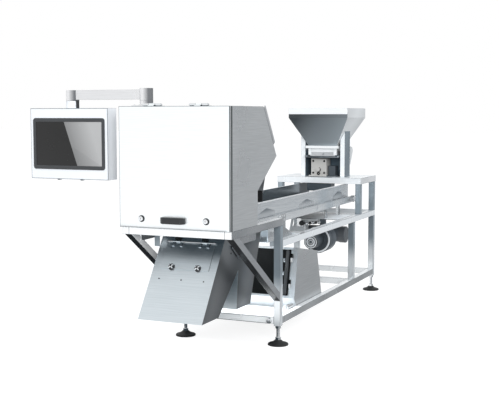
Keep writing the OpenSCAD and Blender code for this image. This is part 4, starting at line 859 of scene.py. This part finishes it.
piece("bearing_caps", caps, chrome, "frame")

# Drive: a geared motor across the frame turns the tail roller by a timing belt.
# Its finned barrel and cowl are painted castings; the gearbox on the left is bare metal.
motor_y, motor_z = np.mean(box_mm("drive_pulley"), 0)[1:]
motor_end = box_mm("drive_gearmotor")[1][0]
fin_pitch, gearbox_x = 9.0, -100.0
# Machine paint: dark grey with a soft sheen.
motor_paint = coated("dark_grey_machine_paint", "#5b5f63", "#4b4f53", 0.4)
# Machine paint on the motor, and pale bare castings on the gearbox.
geared_paint = coated(
    "machine_paint_and_bare_castings", "#5b6167", "#454b51", 0.4,
    shade=tint_past(gearbox_x, "LESS_THAN", "#e4e7e9"),
)
dress("drive_gearmotor", geared_paint, 1.0)
fin_profile = [(55, 0), (59, 0.6), (59, 2.4), (55, 3)]
fins = [turned(fin_profile, (x, motor_y, motor_z), X, 36) for x in np.arange(-90, 30, fin_pitch)]
piece("motor_fins", fins, motor_paint, "frame")
cowl_profile = [
    (59.4, -46), (60, -44), (60, -3), (57, 0.5), (50, 1.5), (49, 0.6), (38, 1.2), (37, 0.4), (20, 1),
    (19, 2), (0, 2.4),
]
cowl = turned(cowl_profile, (motor_end, motor_y, motor_z), X, 48)
piece("motor_cowl", [cowl], motor_paint, "frame")

# Blower: a cast casing with its motor in front, which feeds air to the ejectors.
# A drum, a bright rim and a wire grille stand round the motor, between two dark seams.
# The motor's end is a bright cap with a white plate and dark bands.
impeller = np.mean(box_mm("blower_impeller"), 0)
blower = np.array([impeller[0], 1760.0, impeller[2]])
motor_face, plate_face, band_face = 1624.0, 1620.0, 1620.5
grille_out, rim_seam_out, spoke_count = 3.0, 5.0, 24
loop = np.linspace(0, 2 * np.pi, 9)


def torus(centre, axis, radius, wire, count=48):
    """A ring of round wire: a circle of the wire's radius carried round at the ring's radius."""
    profile = np.stack([radius + wire * np.cos(loop), wire * np.sin(loop)], -1)
    points, faces = turned(profile, centre, axis, count)
    return points, faces[:-2]


def at_blower(y):
    """The point on the blower's axis at y."""
    return blower * (X + Z) + y * Y


# Cast aluminium: dark and a little glossy, with a coarse grit.
dark_cast = coated("dark_cast_aluminium", "#6a7279", "#565e66", 0.38, 2.5, 0.7)
# Die-cast cap: bright and only half a mirror.
motor_cap = coated("bright_cast_aluminium", "#e4e8eb", "#d6dbdf", 0.4, metallic=0.2)
# Enamelled plate stock: plain white.
plate_white = coated("white_plate_enamel", "#f8fafc", "#eef2f5", 0.4)
dress("blower_housing", dark_cast, 1.2, flatten=False)
dress("blower_motor", dark_cast, 1.0, painted_edge_shade)
dress("blower_impeller", black_plastic, 0.4)
grille = blower - grille_out * Y
spokes = [
    turned([(1.5, 48), (1.5, 80)], grille, (math.cos(angle), 0, math.sin(angle)), 8)
    for angle in np.arange(spoke_count) * 2 * np.pi / spoke_count
]
hoops = [torus(grille, Y, radius, wire=1.6) for radius in (52, 60, 68, 76)]
piece("blower_grille", spokes + hoops, dark_cast, "frame")
piece("blower_rim", [torus(blower, Y, radius=83, wire=8.5, count=64)], motor_cap, "frame")
drum = turned([(46, 2), (90, 2), (91, 5), (91, 52), (88, 56)], blower, Y, 64)
piece("blower_drum", [drum], dark_cast, "frame")
rim_seams = [torus(blower - rim_seam_out * Y, Y, radius, wire=1.8, count=64) for radius in (75, 91)]
piece("blower_rim_seams", rim_seams, black_plastic, "frame")
face_profile = [(45, 0), (44.5, 5), (39, 6.5), (38, 3), (29, 3), (28, 7), (21, 7.5), (20, 4), (15, 4)]
piece("blower_motor_face", [turned(face_profile, at_blower(motor_face), -Y, 44)], motor_cap, "frame")
type_plate = slab(at_blower(plate_face), X, Z, wide=15, high=15, deep=3, corner=1.5, edge=0.8)
piece("blower_motor_plate", [type_plate], plate_white, "frame")
bands = [torus(at_blower(band_face), Y, radius, wire=2.6) for radius in (18, 33.5, 45)]
piece("blower_motor_bands", bands, black_plastic, "frame")

# Air: a cast regulator with a moulded knob, a row of screwed fittings and the inlet on the front rail.
# Plated and black fittings take turns along the regulator's front.
fitting_y = 1858.0
fitting_profile = [(9, 0), (9, 8), (7, 9), (7, 14), (10, 15), (10, 22), (6, 24), (0, 24)]
plated_places = ((62, 577), (106, 583), (148, 588))
black_places = ((84, 580), (128, 586))
dress("air_regulator", pale_cast, 1.0)
dress("regulator_knob", black_plastic, 1.5)
dress("air_inlet", chrome, 0.8)
for name, places, finish, slot in (
    ("air_fittings_bright", plated_places, chrome, "chrome"),
    ("air_fittings_dark", black_places, black_plastic, "black_plastic"),
):
    fittings = [turned(fitting_profile, (x, fitting_y, z), -Y, 24) for x, z in places]
    piece(name, fittings, finish, "frame")

# Control box: a sloping stainless housing, folded and welded, with the circuit boards inside.
# Its black enamelled door hangs on side hinges, with a moulded rib and three chromed latches.
box_lean = math.radians(13)
BOX_UP = math.sin(box_lean) * Y + math.cos(box_lean) * Z
BOX_OUT = math.sin(box_lean) * Z - math.cos(box_lean) * Y
slope_rise, door_skin, rib_x, latch_x = 70.0, 10.5, 218.0, 198.0
slope_foot = box_mm("control_box")[0] * (Y + Z) + slope_rise * Z


def on_box(x, up):
    """A point x across and up the skin of the control box's door."""
    return slope_foot + x * X + up * BOX_UP + door_skin * BOX_OUT


# Gloss enamel: a deep black that mirrors little of the white room.
black_gloss = coated("black_gloss_enamel", "#08090a", "#060707", 0.3, bump=0.02, shine=0.06)
# Board lacquer: a dull dark green.
board_lacquer = coated("green_board_lacquer", "#35533f", "#2b4636", 0.4)
dress("control_box", sheet_level, 0.5)
dress("box_door", black_gloss, 1.0)
dress("control_boards", board_lacquer, 0.5)
door_rib = slab(on_box(rib_x, 155), X, BOX_UP, wide=22, high=270, deep=5, corner=3, edge=2)
piece("box_door_rib", [door_rib], black_plastic, "box_door")
latches = [
    slab(on_box(latch_x, up), X, BOX_UP, wide=12, high=24, deep=4, corner=2, edge=1)
    for up in (70, 150, 230)
]
piece("box_door_latches", latches, chrome, "box_door")

# Feeder: a bright folded table on the rear legs carries two posts, a vibrating tray and its gate.
# The grain falls through a sheet funnel to the belt.
# A slate-coated back plate and a bright cheek are fixed to the posts.
cheek_inner, cheek_outer = 171.0, 174.0
# Brushed tray: mid grey.
tray_steel = brushed_steel("brushed_tray_steel", "#b4bbc0", "#98a1a7", ALONG_X, 0.3, metal=0.3)
# Bright brushed table: almost white, with sides painted slightly grey as shade.
table_sheet = brushed_steel(
    "bright_brushed_table_sheet", "#fbfdfe", "#eef4f8", ALONG_X, 0.3, bump=0.015, metal=0.3,
    shade=painted_side_shade("#d0d2d4", "#dedfe1"),
)
# Bright brushed posts: almost white in front, with sides painted slate as shade.
post_sheet = brushed_steel(
    "bright_brushed_post_sheet", "#fbfdfe", "#eef4f8", ALONG_Z, 0.26, bump=0.015, metal=0.1,
    shade=painted_side_shade("#56656f", "#6a7983"),
)
# Funnel sheet: dark, because it hangs in the table's shade.
funnel_sheet = brushed_steel("brushed_funnel_sheet", "#59636a", "#475057", ALONG_X, 0.3, metal=0.3)
# Coated sheet: slate blue with a faint metal sheen.
back_slate = coated("slate_coated_sheet", "#5d6e7a", "#4f606c", 0.45, metallic=0.3)
dress("feeder_table", table_sheet, 2.2, painted_edge_shade)
dress("hopper_posts", post_sheet, 1.4, painted_edge_shade)
dress("feeder_tray", tray_steel, 0.8, painted_edge_shade)
dress("feed_gate", sheet_level, 0.4)
dress("drop_funnel", funnel_sheet, 0.5)
stand_back = slab((0, 2464, 965), X, Z, wide=272, high=186, deep=3, corner=1, edge=0.5)
piece("stand_back", [stand_back], back_slate, "frame")
cheek = [
    (2452, 955), (2466, 960), (2500, 1010), (2524, 1055), (2524, 1066), (2505, 1085), (2470, 1092),
    (2458, 1085),
]
piece("feeder_cheek", [prism(cheek, cheek_inner, cheek_outer)], bright_sheet, "frame")

# Vibrator: a painted cast block with a copper coil, bolted to the table under the tray.
# Leaf springs of blued steel carry the tray; rubber-capped bolts and a chromed stud hold the block's face.
coil_x, coil_y, coil_z = 62.0, 2397.0, 920.0
wire_pitch, wire_turns, coil_r, coil_groove, coil_drop = 3.5, 16, 24.0, 2.0, 26.0
block_x, bolt_face, adjuster_y, stud_face = 28.0, 2350.5, 2346.0, 2350.0
# Machine paint: warm light grey, with a dark casting on the coil's side.
warm_paint = coated(
    "warm_grey_paint", "#c6c5c2", "#b9b8b5", 0.5, shade=tint_past(block_x, "GREATER_THAN", "#484f55")
)
# Blued spring steel: dark, with a blue cast.
spring_steel = brushed_steel("blued_spring_steel", "#6d7480", "#565d69", ALONG_Z, 0.35)
# Varnished copper wire: a dull brown.
copper = coated("varnished_copper_wire", "#7d6a5c", "#66564b", 0.4, 2.0)
dress("vibrator_base", warm_paint, 1.2)
dress("leaf_springs", spring_steel, 0.2)
face_bolts = [
    screw((x, bolt_face, z), -Y, radius=8.0, height=5, count=20) for x in (-77, 9) for z in (897, 984)
]
adjusters = [torus((-34, adjuster_y, z), Y, radius, wire=4.5) for z, radius in ((921, 13), (893, 8))]
piece("vibrator_bolts", face_bolts + adjusters, rubber, "frame")
stud = turned([(9, 0), (9, 7), (6, 9), (0, 9.5)], (-36, stud_face, 923), -Y, 24)
piece("vibrator_stud", [stud], chrome, "frame")
rounds = np.arange(wire_turns)
winding = np.stack([np.where(rounds % 2, coil_r, coil_r - coil_groove), rounds * wire_pitch - coil_drop], -1)
coil = turned(winding, (coil_x, coil_y, coil_z), Z, 28)
piece("vibrator_winding", [coil], copper, "frame")

# Hopper: welded from bright sheet and hung on the two posts, open at the top.
# Its sloping front lies in the shade of the lip.
lip_low, lip_high = 1.19, 1.33


def under_lip(tree, where, colour):
    """Steel painted darker as shade on faces which look forwards and down, and on the front below the lip,
    most
    at the top left: the tone goes from dark to pale as 1.6 x - 1.4 z grows by 0.84 about the middle."""
    slope_look, slope_low, slope_high, front_least = (0, -0.75, -0.66), 0.82, 0.95, 0.95
    tone_x, tone_z, tone_half = 1.6, -1.4, 0.42
    slope = add(
        tree, "ShaderNodeMapRange", {"From Min": slope_low, "From Max": slope_high},
        {"Value": looking(tree, slope_look)},
    )
    here = add(tree, "ShaderNodeSeparateXYZ", None, {0: where})
    front = add(
        tree, "ShaderNodeMath", {1: front_least}, {0: looking(tree, -Y)}, operation="GREATER_THAN"
    )
    below = add(tree, "ShaderNodeMath", {1: lip_high}, {0: here.outputs["Z"]}, operation="LESS_THAN")
    lower = add(
        tree, "ShaderNodeMath", None, {0: front.outputs[0], 1: below.outputs[0]}, operation="MULTIPLY"
    )
    above = add(tree, "ShaderNodeMath", {1: lip_low}, {0: here.outputs["Z"]}, operation="GREATER_THAN")
    lip = add(
        tree, "ShaderNodeMath", None, {0: lower.outputs[0], 1: above.outputs[0]}, operation="MULTIPLY"
    )
    mask = add(
        tree, "ShaderNodeMath", None, {0: slope.outputs["Result"], 1: lip.outputs[0]}, operation="MAXIMUM"
    )
    fall = add(
        tree, "ShaderNodeVectorMath", {1: (tone_x, 0, tone_z)}, {0: where}, operation="DOT_PRODUCT"
    )
    middle = tone_x * float(ORIGIN[0]) + tone_z * lip_low
    blend = add(
        tree, "ShaderNodeMapRange", {"From Min": middle - tone_half, "From Max": middle + tone_half},
        {"Value": fall.outputs["Value"]},
    )
    slope_tone, lip_tone = [
        add(
            tree, "ShaderNodeMix", {6: linear(dark), 7: linear(pale)}, {0: blend.outputs["Result"]},
            data_type="RGBA",
        ).outputs[2]
        for dark, pale in (("#394044", "#b4bdc3"), ("#33393c", "#838b90"))
    ]
    shaded = add(
        tree, "ShaderNodeMix", None, {0: lip.outputs[0], 6: slope_tone, 7: lip_tone}, data_type="RGBA"
    )
    return add(
        tree, "ShaderNodeMix", None, {0: mask.outputs[0], 6: colour, 7: shaded.outputs[2]},
        data_type="RGBA",
    ).outputs[2]


# Welded bright sheet: almost white, with its sides painted a little darker and the slope painted dark as
# shade.
hopper_steel = brushed_steel(
    "welded_bright_sheet", "#fdfeff", "#f4f8fa", ALONG_X, 0.3, metal=0.2,
    shade=layered(painted_side_shade("#cfd2d4", "#dcdfe1", low=0.6, high=0.75), under_lip),
)
dress("hopper", hopper_steel, 2.4, painted_edge_shade, flatten=False)

# Stage: a pale floor and a white surround, which the camera and the mirrors see at full white.
# Soft lamps light the machine; flags of grey cloth, seen only in reflections, give the steel its tones.
# The camera stands where the photograph's stood. Places on the stage are in metres.


def seen_rays(tree, strength):
    """The strength for camera, glossy and transmission rays, which see the white surround; 0 for others."""
    path = add(tree, "ShaderNodeLightPath")
    first = add(
        tree, "ShaderNodeMath", None,
        {0: path.outputs["Is Camera Ray"], 1: path.outputs["Is Glossy Ray"]}, operation="MAXIMUM",
    )
    either = add(
        tree, "ShaderNodeMath", None,
        {0: first.outputs[0], 1: path.outputs["Is Transmission Ray"]}, operation="MAXIMUM",
    )
    seen = add(tree, "ShaderNodeMath", {1: strength}, {0: either.outputs[0]}, operation="MULTIPLY")
    return seen.outputs[0]


WHITE = (1, 1, 1, 1)
world = bpy.data.worlds.new("white_studio")
bpy.context.scene.world = world
world.use_nodes = True
studio = world.node_tree
studio.nodes.clear()
plain = add(studio, "ShaderNodeBackground", {"Color": linear("#f2f6fa"), "Strength": 0.85})
white = add(studio, "ShaderNodeBackground", {"Color": WHITE, "Strength": 1.0})
both = add(
    studio, "ShaderNodeMixShader", None,
    {0: seen_rays(studio, 1.0), 1: plain.outputs[0], 2: white.outputs[0]},
)
add(studio, "ShaderNodeOutputWorld", None, {"Surface": both.outputs[0]})


def card(name, corners):
    """A flat four-sided card from its corners."""
    mesh = bpy.data.meshes.new(name)
    mesh.from_pydata(corners, [], [(0, 1, 2, 3)])
    obj = bpy.data.objects.new(name, mesh)
    bpy.context.scene.collection.objects.link(obj)
    return obj


def level(x0, x1, y0, y1, z):
    """The corners of a level card."""
    return [(x0, y0, z), (x1, y0, z), (x1, y1, z), (x0, y1, z)]


def floor_paint(glow_seen):
    """Matt paint that takes the machine's soft shadow, with an even glow that makes it nearly white."""
    material, tree, out = new_material("pale_floor")[:3]
    matt = add(tree, "ShaderNodeBsdfDiffuse", {"Color": (0.3, 0.3, 0.3, 1)})
    glow = add(tree, "ShaderNodeEmission", {"Color": WHITE}, {"Strength": seen_rays(tree, glow_seen)})
    total = add(tree, "ShaderNodeAddShader", None, {0: matt.outputs[0], 1: glow.outputs[0]})
    tree.links.new(total.outputs[0], out.inputs["Surface"])
    return material


floor_half = 60.0
floor = card("floor", level(-floor_half, floor_half, -floor_half, floor_half, 0))
floor.data.materials.append(floor_paint(glow_seen=0.84))


def flag(name, corners, colour):
    """A studio flag: an even tone that only reflections see."""
    obj = card(name, corners)
    cloth, tree, out = new_material(name + "_cloth")[:3]
    tone = add(tree, "ShaderNodeEmission", {"Color": linear(colour), "Strength": 1.0})
    tree.links.new(tone.outputs[0], out.inputs["Surface"])
    obj.data.materials.append(cloth)
    obj.visible_camera = False
    obj.visible_diffuse = False
    obj.visible_shadow = False
    return obj


lie, beam_lie = 0.004, 0.738
flag("side_flag", [(3.2, 2.2, 0.1), (3.2, 12.0, 0.1), (3.2, 12.0, 4.5), (3.2, 2.2, 4.5)], "#b4b6b8")
flag("floor_flag", level(-3.0, 0.6, -1.25, 0.1, lie), "#3c444a")
flag("right_flag", level(0.66, 9.0, -1.3, 4.0, lie), "#a6a8aa")
flag("far_flag", level(0.66, 9.0, 4.0, 14.0, lie), "#d8dadc")
flag("inner_flag", level(-0.2, 0.58, -1.33, -0.97, beam_lie), "#343d43")


def soft_lamp(name, place, aim, size, watts):
    """A square area lamp at a place, turned to its aim, that lights only what is not mirrored."""
    lamp = bpy.data.lights.new(name, "AREA")
    lamp.size = size
    lamp.energy = watts
    obj = bpy.data.objects.new(name, lamp)
    bpy.context.scene.collection.objects.link(obj)
    obj.location = place
    way = np.array(aim) - np.array(place)
    level_way = math.hypot(way[0], way[1])
    obj.rotation_euler = (math.atan2(level_way, -way[2]), 0, math.atan2(-way[0], way[1]))
    obj.visible_glossy = False
    obj.visible_camera = False
    return obj


soft_lamp("key", place=(5.8, -10.6, 4.0), aim=(0.2, 0.0, 0.7), size=6.0, watts=950)
soft_lamp("fill", place=(4.5, -0.5, 3.0), aim=(0.2, 0.0, 0.8), size=3.0, watts=70)
soft_lamp("pan_lamp", place=(0.28, -0.42, 0.56), aim=(0.28, -0.42, 0.1), size=0.3, watts=6)

camera_from_door = np.array([2.3109, -4.3297, 1.3292])
camera_tilt, camera_turn = math.radians(84.86), math.radians(23.50)
lens = bpy.data.cameras.new("camera")
lens.sensor_width = 36.0
lens.lens = 68.78
camera = bpy.data.objects.new("camera", lens)
bpy.context.scene.collection.objects.link(camera)
camera.location = ORIGIN + camera_from_door
camera.rotation_euler = (camera_tilt, 0, camera_turn)
bpy.context.scene.camera = camera

bpy.context.scene.view_settings.view_transform = "Standard"
